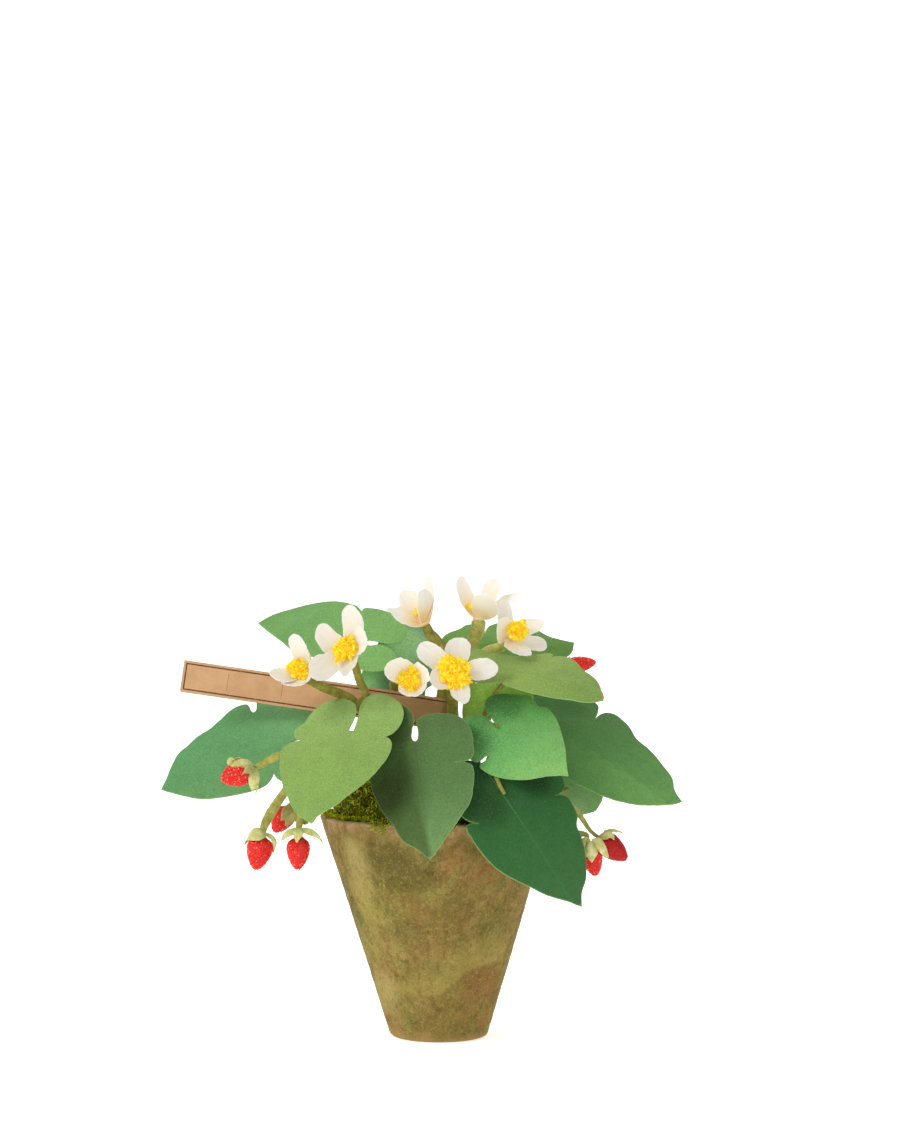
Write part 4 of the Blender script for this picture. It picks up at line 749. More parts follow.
def catmull(points, step):
    """Points about one step apart on a smooth path through the given ones (centripetal)."""
    p = np.asarray(points, float)
    p = np.vstack([2 * p[0] - p[1], p, 2 * p[-1] - p[-2]])
    out = []
    for i in range(1, len(p) - 2):
        p0, p1, p2, p3 = p[i - 1], p[i], p[i + 1], p[i + 2]
        t0 = 0.0
        t1 = t0 + max(1e-4, np.linalg.norm(p1 - p0) ** 0.5)
        t2 = t1 + max(1e-4, np.linalg.norm(p2 - p1) ** 0.5)
        t3 = t2 + max(1e-4, np.linalg.norm(p3 - p2) ** 0.5)
        k = max(2, int(round(np.linalg.norm(p2 - p1) / step)))
        for s in range(k):
            t = t1 + (t2 - t1) * s / k
            a1 = (t1 - t) / (t1 - t0) * p0 + (t - t0) / (t1 - t0) * p1
            a2 = (t2 - t) / (t2 - t1) * p1 + (t - t1) / (t2 - t1) * p2
            a3 = (t3 - t) / (t3 - t2) * p2 + (t - t2) / (t3 - t2) * p3
            b1 = (t2 - t) / (t2 - t0) * a1 + (t - t0) / (t2 - t0) * a2
            b2 = (t3 - t) / (t3 - t1) * a2 + (t - t1) / (t3 - t1) * a3
            out.append((t2 - t) / (t2 - t1) * b1 + (t - t1) / (t2 - t1) * b2)
    out.append(p[-2])
    out = np.array(out)
    # even spacing
    d = np.r_[0, np.cumsum(np.linalg.norm(np.diff(out, axis=0), axis=1))]
    k = max(3, int(round(d[-1] / step)))
    s = np.linspace(0, d[-1], k + 1)
    return np.c_[np.interp(s, d, out[:, 0]), np.interp(s, d, out[:, 1]), np.interp(s, d, out[:, 2])]


def sweep(points, radius, sides=14, wobble=0.0, seed=0.0, pitch=3.2, ridge=0.10, start_cap=True, end_cap=True, flat=None):
    """Closed tube along the points. radius is a list, pitch the length of one turn of tape. Returns verts, faces, wrap."""
    p = np.asarray(points, float)
    n = len(p)
    r = np.asarray(radius, float)
    tan = np.gradient(p, axis=0)
    tan /= np.linalg.norm(tan, axis=1)[:, None]
    ref = np.array([0, 0, 1.0]) if abs(tan[0][2]) < 0.9 else np.array([1.0, 0, 0])
    x = np.cross(tan[0], ref)
    x /= np.linalg.norm(x)
    along = np.r_[0, np.cumsum(np.linalg.norm(np.diff(p, axis=0), axis=1))]
    verts, wrap = [], []
    for i in range(n):
        x = x - (x @ tan[i]) * tan[i]
        x /= np.linalg.norm(x)
        y = np.cross(tan[i], x)
        for k in range(sides):
            ang = 2 * math.pi * k / sides
            turn = along[i] / pitch - k / sides
            band = turn - math.floor(turn)
            lift = ridge * (1.0 - band) ** 1.5
            uneven = wobble * (noise.noise(Vector((along[i] * 0.45 + seed, math.cos(ang) * 1.3, math.sin(ang) * 1.3 + seed))))
            rr = r[i] * (1 + uneven) + lift - ridge * 0.5
            verts.append(p[i] + rr * (math.cos(ang) * x + math.sin(ang) * y))
            wrap.append(turn + 1000)
    faces = []
    for i in range(n - 1):
        for k in range(sides):
            a, b = i * sides + k, i * sides + (k + 1) % sides
            faces.append((a, b, b + sides, a + sides))
    if start_cap:
        c = len(verts)
        verts.append(p[0] - tan[0] * r[0] * 0.35)
        wrap.append(1000.5)
        faces += [(c, (k + 1) % sides, k) for k in range(sides)]
    if end_cap:
        c = len(verts)
        verts.append(p[-1] + tan[-1] * r[-1] * 0.35)
        wrap.append(1000.5)
        b = (n - 1) * sides
        faces += [(c, b + k, b + (k + 1) % sides) for k in range(sides)]
    return verts, faces, wrap


def join(parts):
    """parts: (verts, faces, one attribute, material index). Returns them as one mesh."""
    V, F, A, M = [], [], [], []
    for verts, faces, att, mat in parts:
        o = len(V)
        V += list(verts)
        F += [tuple(i + o for i in f) for f in faces]
        A += list(att)
        M += [mat] * len(faces)
    return V, F, A, M


def stem_piece(name, stem, mats):
    parts = []
    x, y = stem["foot"]
    z0, z1, r = stem["from"], stem["to"], stem["radius"]
    pts = catmull([(x, y, z0), (x, y, (z0 + z1) / 2), (x, y, z1)], 0.8)
    rr = np.full(len(pts), r * 0.96)
    rr[-3:] *= [0.95, 0.85, 0.7]
    parts.append((*sweep(pts, rr, 18, 0.06, 3.0, 4.0, 0.06), 0))
    for i, b in enumerate(stem["branches"]):
        pts = catmull(b["path"], 0.7)
        if b["kind"] == "flower":
            # the stalk runs on to the underside of the cup
            way = unit(pts[-1] - pts[-3])
            pts = np.vstack([pts, pts[-1] + way * 0.6, pts[-1] + way * 1.2])
        t = np.linspace(0, 1, len(pts))
        rr = (b["r0"] + (b["r1"] - b["r0"]) * t) * 1.0
        s = np.arange(len(pts)) * 0.7
        end = s[-1] - s
        if b["kind"] == "petiole":
            rr = rr * (1.0 - 0.16 * t)
        if b["kind"] == "flower":
            rr = rr * (1 + 0.06 * np.exp(-((end - 4.0) / 3.0) ** 2))
        if b["kind"] == "fruit":
            # thick in the middle of its length, narrow where it meets the calyx
            rr = rr * (1 + 0.16 * np.exp(-((end - 13.0) / 6.0) ** 2)) * (0.52 + 0.48 * np.clip(end / 6.5, 0, 1) ** 0.8)
        if "widths" in b:
            rr = np.interp(t, np.linspace(0, 1, len(b["widths"])), b["widths"])
        if b["kind"] == "flower":
            rr = rr * (0.66 + 0.34 * np.sqrt(np.clip(end / 1.5, 0, 1)))
        verts, faces, wrap = sweep(pts, rr, 16, 0.05, 1.7 * i + stem["seed"], 2.9 + 0.25 * i, 0.055)
        parts.append((verts, faces, wrap, 0))
    for i, cut in enumerate(stem.get("stubs", [])):
        pts = catmull(cut["path"], 0.6)
        rr = np.interp(np.linspace(0, 1, len(pts)), np.linspace(0, 1, len(cut["widths"])), cut["widths"])
        verts, faces, wrap = sweep(pts, rr, 14, 0.10, 9.7 * i + 3.0, 2.6, 0.06)
        verts = np.array(verts)
        for k in range(14 * (len(pts) - 2), len(verts)):
            # the torn end of the tape
            verts[k] += 0.45 * np.array([noise.noise(Vector(verts[k] * 1.7 + j)) for j in (0.0, 31.0, 67.0)])
        parts.append((list(verts), faces, wrap, 0))
    V, F, A, M = join(parts)
    return make("vis_" + name, V, F, mats, M, True, {"wrap": np.array(A, np.float32)}, node=name)


# ---- flowers ------------------------------------------------------------------------
def petal_material(name, glow, tint=1.0):
    """Crepe paper: cream, finely ribbed lengthwise, warmer towards the base where light comes through."""
    g = Graph("crepe_" + name)
    st = g.xyz(g.attr("petal_st"))
    coord = g.coord()
    # ribs run along the petal: stretched noise in the petal's own plane
    flat = g.node("ShaderNodeCombineXYZ")
    g.link(g.math("MULTIPLY", st[0], 0.10), flat.inputs[0])
    g.link(st[1], flat.inputs[1])
    ribs = g.noise(flat.outputs[0], 2.6, 4.0, 0.6)
    fine = g.noise(coord, 1800.0, 3.0, 0.6)
    body = g.ramp(g.range(st[0], 0.0, 1.0), [(0.0, (246, 222, 172)), (0.20, (251, 237, 208)), (0.5, (252, 245, 230)), (1.0, (252, 248, 238))])
    shade = g.mix(g.range(ribs, 0.38, 0.62), body, (228, 218, 204))
    c = g.mix(0.42, body, shade)
    if glow:
        warm = g.range(st[0], 0.12, 0.80 if glow > 0.4 else 0.55, 1.0, 0.0, "SMOOTHSTEP")
        c = g.mix(g.math("MULTIPLY", warm, glow), c, (246, 202, 118))
    rim = g.range(st[2], 0.0, 0.8, 1.0, 0.0)
    c = g.mix(g.math("MULTIPLY", rim, 0.5), c, (255, 252, 247))
    c = g.mix(g.math("MULTIPLY", g.range(fine, 0.5, 0.72), 0.3), c, (255, 252, 246))
    c = g.mix(1.0, c, hue((255, 253, 251), tint), "MULTIPLY")
    height = g.math("ADD", g.math("MULTIPLY", ribs, 0.75), g.math("MULTIPLY", fine, 0.25))
    g.surface(c, 0.88, g.bump(height, 0.7, 0.0004), sheen=0.15, specular=0.2)
    g.bsdf.inputs["Subsurface Weight"].default_value = 0.5
    g.bsdf.inputs["Subsurface Radius"].default_value = (1.0, 0.86, 0.66)
    g.bsdf.inputs["Subsurface Scale"].default_value = 0.0020
    # a little of the studio light comes through the thin paper
    g.bsdf.inputs["Emission Color"].default_value = rgba((255, 243, 222))
    g.bsdf.inputs["Emission Strength"].default_value = {"c": 0.06, "d": 0.09, "f": 0.09}.get(name, 0.03)
    return g.mat


def petal_parts(flower, petal, seed):
    a, n = unit(petal["along"]), unit(petal["normal"])
    l = np.cross(n, a)
    base = np.array(flower["base"])
    L = petal["length"]
    pts = np.array(petal["outline"], float)
    outline, _ = smooth_outline(pts, [False] * len(pts), 0.55)
    # slightly scalloped cut edge
    m = len(outline)
    centre = outline.mean(0)
    for i in range(m):
        d = outline[i] - centre
        k = noise.noise(Vector((outline[i][0] * 0.5 + seed, outline[i][1] * 0.5, seed))) * 0.35
        if outline[i][0] > 0.35 * L:
            outline[i] += d / np.linalg.norm(d) * k
    flat, faces, border = cut_sheet(outline, 1.0)
    ring = flat[border]
    edge = np.full(len(flat), 1e9)
    for i in range(len(border)):
        p, q = ring[i], ring[(i + 1) % len(border)]
        d = q - p
        t = np.clip(((flat - p) @ d) / (d @ d + 1e-12), 0, 1)
        edge = np.minimum(edge, np.linalg.norm(flat - p - t[:, None] * d, axis=1))
    s, t = flat[:, 0], flat[:, 1]
    x = np.clip(s / L, 0, 1.1)
    rise = PETAL_CUP * (t / 6) ** 2 - PETAL_BELLY * 4 * x * (1 - x)
    tt = np.arctan2(t, np.maximum(s, 2.0)) * 9.0
    ribs = noise3(np.c_[s * 0.12, tt * 1.5, np.full(len(s), seed)], 1.0, seed, 3) * 0.21 * np.clip(x * 1.6, 0.25, 1)
    flare = np.exp(-edge / 1.1) * noise3(np.c_[flat * 0.45, np.full(len(s), seed)], 1.0, seed + 4, 2) * 0.55 * np.clip(x, 0, 1)
    fold = -0.28 * np.exp(-(t / 0.6) ** 2) * np.clip(1 - x, 0, 1)
    w = rise + ribs + flare + fold
    thin = PETAL * np.clip(0.55 + 0.45 * np.clip(edge / 1.0, 0, 1), 0.4, 1)
    top = base + np.outer(s, a) + np.outer(t, l) + np.outer(w + thin / 2, n)
    bottom = base + np.outer(s, a) + np.outer(t, l) + np.outer(w - thin / 2, n)
    verts, out, kind, order = thick_sheet(flat, faces, border, top, bottom)
    st = np.c_[s / L, t, edge]
    return verts, out, np.vstack([st, st, st[order], st[order]])


def turned(direction):
    return np.array(Vector((0, 0, 1)).rotation_difference(Vector(direction)).to_matrix())


def lathe_points(profile, sides, squash=1.0):
    """Closed lathe round +Z from (radius, height) pairs that start and end on the axis."""
    verts = [(0, 0, profile[0][1])]
    for r, z in profile[1:-1]:
        for k in range(sides):
            a = 2 * math.pi * k / sides
            verts.append((r * math.cos(a), r * math.sin(a) * squash, z))
    verts.append((0, 0, profile[-1][1]))
    faces = []
    n = len(profile) - 2
    up = profile[-1][1] >= profile[0][1]
    for k in range(sides):
        faces.append((0, 1 + (k + 1) % sides, 1 + k))
    for i in range(n - 1):
        for k in range(sides):
            a, b = 1 + i * sides + k, 1 + i * sides + (k + 1) % sides
            faces.append((a, b, b + sides, a + sides))
    last = len(verts) - 1
    for k in range(sides):
        a, b = 1 + (n - 1) * sides + k, 1 + (n - 1) * sides + (k + 1) % sides
        faces.append((a, b, last))
    if not up:
        faces = [tuple(reversed(f)) for f in faces]
    return np.array(verts, float), faces


def corolla_piece(key, flower):
    glow = {"c": 0.80, "d": 0.54, "e": 0.2}.get(key, 0.12)
    mats = [petal_material(key, glow, {"a": 0.955, "b": 0.945, "g": 0.98}.get(key, 1.0))]
    V, F, A = [], [], []
    for i, petal in enumerate(flower["petals"]):
        verts, faces, st = petal_parts(flower, petal, 3.1 * i + ord(key))
        o = len(V)
        V += list(verts)
        F += [tuple(k + o for k in f) for f in faces]
        A += list(st)
    R = turned(flower["facing"])
    disc, faces = lathe_points([(0, -1.3), (1.6, -1.25), (2.5, -0.95), (3.0, -0.2), (2.9, 0.35), (2.0, 0.75), (0, 0.85)], 20)
    o = len(V)
    V += list(disc @ R.T + np.array(flower["base"]))
    F += [tuple(k + o for k in f) for f in faces]
    A += [(0.05, p[0], 2.0) for p in disc]
    return make("vis_corolla_" + key, V, F, mats, [0] * len(F), True, {"petal_st": np.array(A)}, node="corolla_" + key)


def tuft_material():
    g = Graph("crepe_fringe")
    coord = g.coord()
    tone = g.attr("tone", "Fac")
    depth = g.attr("depth", "Fac")
    c = g.ramp(tone, [(0.0, (255, 232, 66)), (0.55, (255, 222, 38)), (0.78, (254, 204, 26)), (1.0, (246, 164, 20))])
    c = g.mix(g.range(depth, 0.0, 0.55, 0.75, 0.0), c, (244, 158, 18))
    fine = g.noise(coord, 2000.0, 3.0, 0.6)
    c = g.mix(g.math("MULTIPLY", g.range(fine, 0.45, 0.7), 0.30), c, (255, 240, 100))
    g.surface(c, 0.85, g.bump(fine, 0.35, 0.0002), specular=0.12)
    g.bsdf.inputs["Subsurface Weight"].default_value = 0.35
    g.bsdf.inputs["Subsurface Radius"].default_value = (1.0, 0.72, 0.08)
    g.bsdf.inputs["Subsurface Scale"].default_value = 0.0014
    # thin crepe lets the light through
    g.put(g.bsdf.inputs["Emission Color"], c)
    g.bsdf.inputs["Emission Strength"].default_value = 0.15
    return g.mat


def ribbon(points, side, width, thick):
    """Closed flat strip along the points; side is the width direction at each point."""
    n = len(points)
    verts, faces = [], []
    for i in range(n):
        p = points[i]
        t = points[min(i + 1, n - 1)] - points[max(i - 1, 0)]
        t = t / (np.linalg.norm(t) + 1e-9)
        s = side[i] - (side[i] @ t) * t
        s /= np.linalg.norm(s) + 1e-9
        b = np.cross(t, s)
        w = width[i] / 2
        verts += [p - s * w - b * thick / 2, p + s * w - b * thick / 2, p + s * w + b * thick / 2, p - s * w + b * thick / 2]
    for i in range(n - 1):
        a = 4 * i
        for k in range(4):
            faces.append((a + k, a + (k + 1) % 4, a + 4 + (k + 1) % 4, a + 4 + k))
    faces.append((3, 2, 1, 0))
    e = 4 * (n - 1)
    faces.append((e, e + 1, e + 2, e + 3))
    return verts, faces


# tufts that are seen only from the side: radius, height, where the fringe starts, and how far the whole is moved
TUFTS = {"c": dict(r=3.0, h=10.5, low=6.5, shift=(0, 0, 0)), "d": dict(r=5.8, h=11.0, low=6.5, shift=(0, 1.5, 0)), "e": dict(r=5.7, h=12.6, low=4.4, shift=(2.4, 1.4, 2.0))}
# strips out of place, as ways from the flower's centre in millimetres
TAILS = {"b": [((-5.4, -7.2, -5.6), 8)]}


def tuft_piece(key, flower, mat):
    R = turned(flower["facing"])
    base = np.array(flower["base"])
    own = TUFTS.get(key, dict(r=flower["tuft"], h=flower["height"], low=1.0, shift=(0, 0, 0)))
    r, h, low = own["r"], own["h"], own["low"]
    base = base + np.array(own["shift"])
    rnd = np.random.default_rng(100 + ord(key))
    V, F, tone, depth = [], [], [], []

    def put(verts, faces, tn, dp):
        o = len(V)
        V.extend(verts)
        F.extend(tuple(i + o for i in f) for f in faces)
        tone.extend(tn)
        depth.extend(dp)
    core, faces = lathe_points([(0, 0.9), (r * 0.42, 1.0), (r * (0.66 if low < 2 else 0.40), h * 0.30), (r * (0.70 if low < 2 else 0.50), h * 0.52), (r * 0.44, h * 0.72), (0, h * 0.80)], 24)
    bump = noise3(core, 0.6, 5.0 + ord(key), 2)
    core = core * (1 + 0.10 * bump)[:, None]
    put(list(core), faces, [0.70] * len(core), [0.22] * len(core))

    def strip(start, mid, end, w0, bend, tn, k=9):
        """One cut strip of the crepe fringe, crinkled along its length and curled at its end."""
        out = unit(np.array([end[0] - start[0], end[1] - start[1], 0.02]))
        a0 = rnd.uniform(0, math.pi)
        tw = rnd.uniform(-1.2, 1.2)
        tangent = unit(end - start)
        x = unit(np.cross(tangent, [0.3, 0.2, 1.0]))
        y = np.cross(tangent, x)
        phase, crinkle = rnd.uniform(0, 6.28), rnd.uniform(0.2, 0.5)
        pts, side = [], []
        for s in range(k):
            t = s / (k - 1)
            q = (1 - t) ** 2 * start + 2 * t * (1 - t) * mid + t * t * end
            curl = max(0.0, t - 0.55) / 0.45
            q = q + out * (curl ** 2) * bend * 0.9 - np.array([0, 0, 1.0]) * (curl ** 2) * abs(bend) * 0.4
            sd = math.cos(a0 + tw * t) * x + math.sin(a0 + tw * t) * y
            q = q + np.cross(tangent, sd) * crinkle * math.sin(phase + 9.0 * t) * t
            pts.append(q)
            side.append(sd)
        width = [w0 * (0.45 + 0.75 * s / (k - 1) + 0.10 * math.sin(phase + 7.0 * s / (k - 1))) for s in range(k)]
        width[-1] *= 0.66
        verts, faces = ribbon(pts, side, width, 0.15)
        put(verts, faces, [tn] * len(verts), [s / (k - 1) for s in range(k) for _ in range(4)])

    count = int(70 + 2.5 * r * r)
    for i in range(count):
        z = 1 - (i + 0.5) / count * 0.98
        th = math.acos(min(1, z))
        ph = i * 2.399963 + rnd.normal(0, 0.25)
        d = np.array([math.sin(th) * math.cos(ph), math.sin(th) * math.sin(ph), math.cos(th)])
        lobes = noise.noise(Vector(d * 1.9 + ord(key))) * 0.24
        reach = 1.0 / math.sqrt((math.sin(th) / r) ** 2 + (math.cos(th) / h) ** 2) * (rnd.uniform(0.86, 1.08) + lobes)
        start = np.array([d[0] * r * 0.22, d[1] * r * 0.22, max(h * 0.18, low * 0.72)])
        end = d * reach
        end[2] = max(end[2], low)
        mid = (start + end) / 2 + np.array([0, 0, 0.08 * h]) + rnd.normal(0, 0.35, 3)
        tn = rnd.uniform(0.80, 1.0) if rnd.random() < 0.10 else rnd.uniform(0.0, 0.62)
        strip(start, mid, end, rnd.uniform(1.3, 2.7), rnd.uniform(-0.7, 1.0), tn)
    for way, many in TAILS.get(key, []):
        # strips that have slipped out of the centre and lie on a petal
        way = R.T @ np.array(way)
        for i in range(many):
            start = np.array([0, 0, h * 0.35]) + rnd.normal(0, 0.5, 3)
            end = way + rnd.normal(0, 0.55, 3)
            strip(start, (start + end) / 2 + rnd.normal(0, 0.5, 3), end, rnd.uniform(0.9, 1.4), 0.3, rnd.uniform(0.3, 0.85))
    V = np.array(V) @ R.T + base
    return make("vis_stamen_tuft_" + key, V, F, [mat], [0] * len(F), True, {"tone": np.array(tone), "depth": np.array(depth)}, node="stamen_tuft_" + key)


# ---- berries -------------------------------------------------------------------------
def berry_material():
    g = Graph("beaded_red")
    coord = g.coord()
    tone = g.attr("tone", "Fac")
    c = g.ramp(tone, [(0.0, (204, 18, 14)), (0.30, (234, 26, 18)), (0.70, (250, 42, 28)), (0.93, (255, 88, 60)), (1.0, (255, 190, 164))])
    n = g.noise(coord, 900.0, 3.0, 0.6)
    c = g.mix(g.math("MULTIPLY", g.range(n, 0.5, 0.75), 0.3), c, (250, 84, 56))
    low = g.noise(coord, 160.0, 3.0, 0.5)
    c = g.mix(g.range(low, 0.50, 0.75, 0.0, 0.25), c, (216, 26, 22))
    dim = g.attr("dim", "Fac")
    c = g.mix(g.math("MULTIPLY", dim, 0.85), c, (186, 6, 6))
    g.surface(c, 0.46, g.bump(n, 0.3, 0.0002), specular=0.45)
    g.bsdf.inputs["Subsurface Weight"].default_value = 0.15
    g.bsdf.inputs["Subsurface Radius"].default_value = (1.0, 0.15, 0.1)
    g.bsdf.inputs["Subsurface Scale"].default_value = 0.001
    return g.mat


def small_ball():
    bm = bmesh.new()
    bmesh.ops.create_icosphere(bm, subdivisions=1, radius=1.0)
    v = np.array([tuple(x.co) for x in bm.verts])
    f = [tuple(x.index for x in y.verts) for y in bm.faces]
    bm.free()
    return v, f


BALL_V, BALL_F = small_ball()


def berry_radius(w, L, z):
    """Radius of the cone at height z below the calyx: broad shoulders and a rounded tip."""
    t = np.clip(z / L, 0, 1)
    r = 0.5 * w * np.interp(t, [0, 0.04, 0.12, 0.22, 0.34, 0.48, 0.62, 0.76, 0.87, 0.94, 0.98, 1.0],
                            [0, 0.55, 0.84, 0.975, 1.0, 0.95, 0.83, 0.655, 0.475, 0.32, 0.18, 0.0])
    return r


def berry_piece(key, berry, mat):
    top, tip = np.array(berry["top"]), np.array(berry["tip"])
    axis = tip - top
    L = np.linalg.norm(axis)
    R = turned(axis / L)
    w = berry["width"]
    rnd = np.random.default_rng(300 + sum(map(ord, key)))
    zs = np.r_[0, np.linspace(0.02, 0.995, 34) * L, L]
    profile = [(float(berry_radius(w, L, z)) - 0.32, float(z)) for z in zs]
    profile[0] = (0, 0.25)
    profile[-1] = (0, L - 0.32)
    profile = [profile[0]] + [(max(r, 0.12), min(z, L - 0.36)) for r, z in profile[1:-1]] + [profile[-1]]
    body, faces = lathe_points(profile, 40)
    lump = noise3(body, 0.22, sum(map(ord, key)), 3)
    body[:, :2] *= (1 + 0.035 * lump)[:, None]
    V, F, T = list(body), list(faces), [0.12] * len(body)
    # beads laid close together over the whole cone
    spacing = 0.78
    z = 0.35
    row = 0
    while z < L - 0.15:
        r = float(berry_radius(w, L, z)) - 0.22
        dr = (float(berry_radius(w, L, min(L, z + 0.1))) - float(berry_radius(w, L, z))) / 0.1
        slant = math.sqrt(1 + dr * dr)
        count = max(1, int(2 * math.pi * max(r, 0.05) / spacing))
        for k in range(count):
            a = 2 * math.pi * (k + 0.5 * (row % 2)) / count + rnd.normal(0, 0.16 / max(r, 1.0))
            zz = z + rnd.normal(0, 0.14)
            rr = (float(berry_radius(w, L, min(max(zz, 0.1), L - 0.02))) - 0.30)
            p = np.array([rr * math.cos(a), rr * math.sin(a), min(zz, L - 0.42)])
            p[:2] *= 1 + 0.035 * noise.fractal(Vector((p[0] * 0.22 + 1, p[1] * 0.22, p[2] * 0.22)), 1.0, 2.0, 2)
            size = rnd.uniform(0.30, 0.47)
            o = len(V)
            V.extend(p + BALL_V * size)
            F.extend(tuple(i + o for i in f) for f in BALL_F)
            tn = rnd.uniform(0.25, 0.9)
            if rnd.random() < 0.05:
                tn = rnd.uniform(0.94, 1.0)
            T.extend([tn] * len(BALL_V))
        z += spacing * 0.86 / slant
        row += 1
    V = np.array(V) @ R.T + top
    return make("vis_berry_" + key, V, F, [mat], [0] * len(F), True, {"tone": np.array(T), "dim": np.full(len(V), 1.0 if key == "right_1" else 0.0)}, node="berry_" + key)


def calyx_material():
    g = Graph("calyx_paper")
    coord = g.coord()
    along = g.attr("along", "Fac")
    dull = g.attr("dull", "Fac")
    n = g.noise(coord, 240.0, 4.0, 0.6)
    fine = g.noise(coord, 2300.0, 3.0, 0.6)
    fresh = g.mix(g.range(n, 0.40, 0.62), (190, 190, 118), (226, 224, 166))
    shaded = g.mix(g.range(n, 0.40, 0.62), (142, 134, 76), (184, 174, 108))
    c = g.mix(dull, fresh, shaded)
    c = g.mix(g.range(along, 0.0, 0.7, 0.55, 0.0), c, (162, 164, 88))
    c = g.mix(g.math("MULTIPLY", g.range(fine, 0.5, 0.72), 0.35), c, (236, 234, 186))
    g.surface(c, 0.88, g.bump(g.math("ADD", n, fine), 0.4, 0.0002), specular=0.2)
    g.bsdf.inputs["Subsurface Weight"].default_value = 0.3
    g.bsdf.inputs["Subsurface Radius"].default_value = (1.0, 0.95, 0.5)
    g.bsdf.inputs["Subsurface Scale"].default_value = 0.0012
    return g.mat


def sepal_parts(path, half, thick, cross_cup, face):
    """A pointed paper sepal along a path (list of points), half widths in half, cupped across."""
    pts = catmull(path, 0.45)
    n = len(pts)
    t = np.linspace(0, 1, n)
    hw = np.interp(t, np.linspace(0, 1, len(half)), half)
    hw = np.convolve(np.r_[hw[0], hw[0], hw, hw[-1], hw[-1]], [0.15, 0.2, 0.3, 0.2, 0.15], "valid")
    cols = 9
    tan = np.gradient(pts, axis=0)
    tan /= np.linalg.norm(tan, axis=1)[:, None]
    top, bottom, along, flat = [], [], [], []
    for i in range(n):
        s = unit(np.cross(tan[i], face[i * (len(face) - 1) // max(1, n - 1)]))
        b = -np.cross(tan[i], s)
        for j in range(cols):
            q = 2 * j / (cols - 1) - 1
            p = pts[i] + s * q * hw[i] + b * cross_cup * (q * q) * hw[i]
            top.append(p + b * thick / 2)
            bottom.append(p - b * thick / 2)
            along.append(t[i])
    N = n * cols
    verts = top + bottom
    faces = []
    for i in range(n - 1):
        for j in range(cols - 1):
            a, b2, c, d = i * cols + j, i * cols + j + 1, (i + 1) * cols + j + 1, (i + 1) * cols + j
            faces.append((a, b2, c, d))
            faces.append((N + a, N + d, N + c, N + b2))
    for j in range(cols - 1):
        faces.append((j + 1, j, N + j, N + j + 1))
        r = (n - 1) * cols + j
        faces.append((r, r + 1, N + r + 1, N + r))
    for i in range(n - 1):
        a, b2 = i * cols, (i + 1) * cols
        faces.append((a, b2, N + b2, N + a))
        c, d = a + cols - 1, b2 + cols - 1
        faces.append((d, c, N + c, N + d))
    return verts, faces, along + along


def calyx_piece(key, berry, mat):
    top, tip = np.array(berry["top"]), np.array(berry["tip"])
    L = np.linalg.norm(tip - top)
    axis = (tip - top) / L
    R = turned(axis)
    w = berry["width"]
    V, F, A, D = [], [], [], []

    def put(verts, faces, along, dull):
        o = len(V)
        V.extend(verts)
        F.extend(tuple(x + o for x in f) for f in faces)
        A.extend(along)
        D.extend([dull] * len(verts))
    disc, faces = lathe_points([(0, -1.5), (0.9, -1.45), (1.7, -1.1), (2.6, -0.45), (2.5, -0.1), (0, 0.1)], 18)
    put(list(disc @ R.T + top), faces, [0.0] * len(disc), 0.35)
    for sepal in SEPALS[key]:
        if "path" in sepal:
            path = [np.array(q, float) for q in sepal["path"]]
            face = [np.array(q, float) for q in sepal["face"]]
        else:
            # laid over the berry's shoulder: e1 and e2 span the plane across its axis
            e1 = unit(np.cross(axis, [0.0, 1.0, 0.0]))
            e2 = np.cross(axis, e1)
            a = math.radians(sepal["turn"])
            out = math.cos(a) * e1 + math.sin(a) * e2
            path, face = [], []
            for s in np.linspace(0, 1, 7):
                z = -0.9 + s * sepal["length"]
                r = 0.9 + (0.5 * w + 0.55) * math.sin(min(1.0, s * 1.5) * math.pi / 2) + sepal["flare"] * s * s
                path.append(top + out * r + axis * z)
                face.append(unit(out + axis * (0.4 - s)))
        verts, faces, along = sepal_parts(path, sepal["half"], 0.28, sepal.get("cup", -0.22), face)
        put(verts, faces, along, sepal.get("dull", 0.0))
    return make("vis_calyx_" + key, V, F, [mat], [0] * len(F), True, {"along": np.array(A), "dull": np.array(D)}, node="calyx_" + key)


# ---- pot, foam and moss ------------------------------------------------------------------
SLOPE = (POT_RIM - POT_BASE) / POT_HEIGHT
WALL_ANGLE = math.atan(SLOPE)


def outer_radius(z):
    return POT_BASE + SLOPE * z


def spot(g, coord, where, reach, wander, amount=1.0, inner=0.25):
    """A soft patch round a place on the wall, metres: 1 in the middle, 0 beyond its reach."""
    off = g.vmath("SUBTRACT", coord, where)
    n = g.node("ShaderNodeVectorMath", operation="LENGTH")
    g.link(off, n.inputs[0])
    away = g.math("ADD", n.outputs["Value"], g.math("MULTIPLY", g.math("SUBTRACT", wander, 0.5), reach * 1.5))
    return g.range(away, reach * inner, reach, amount, 0.0, "SMOOTHSTEP")


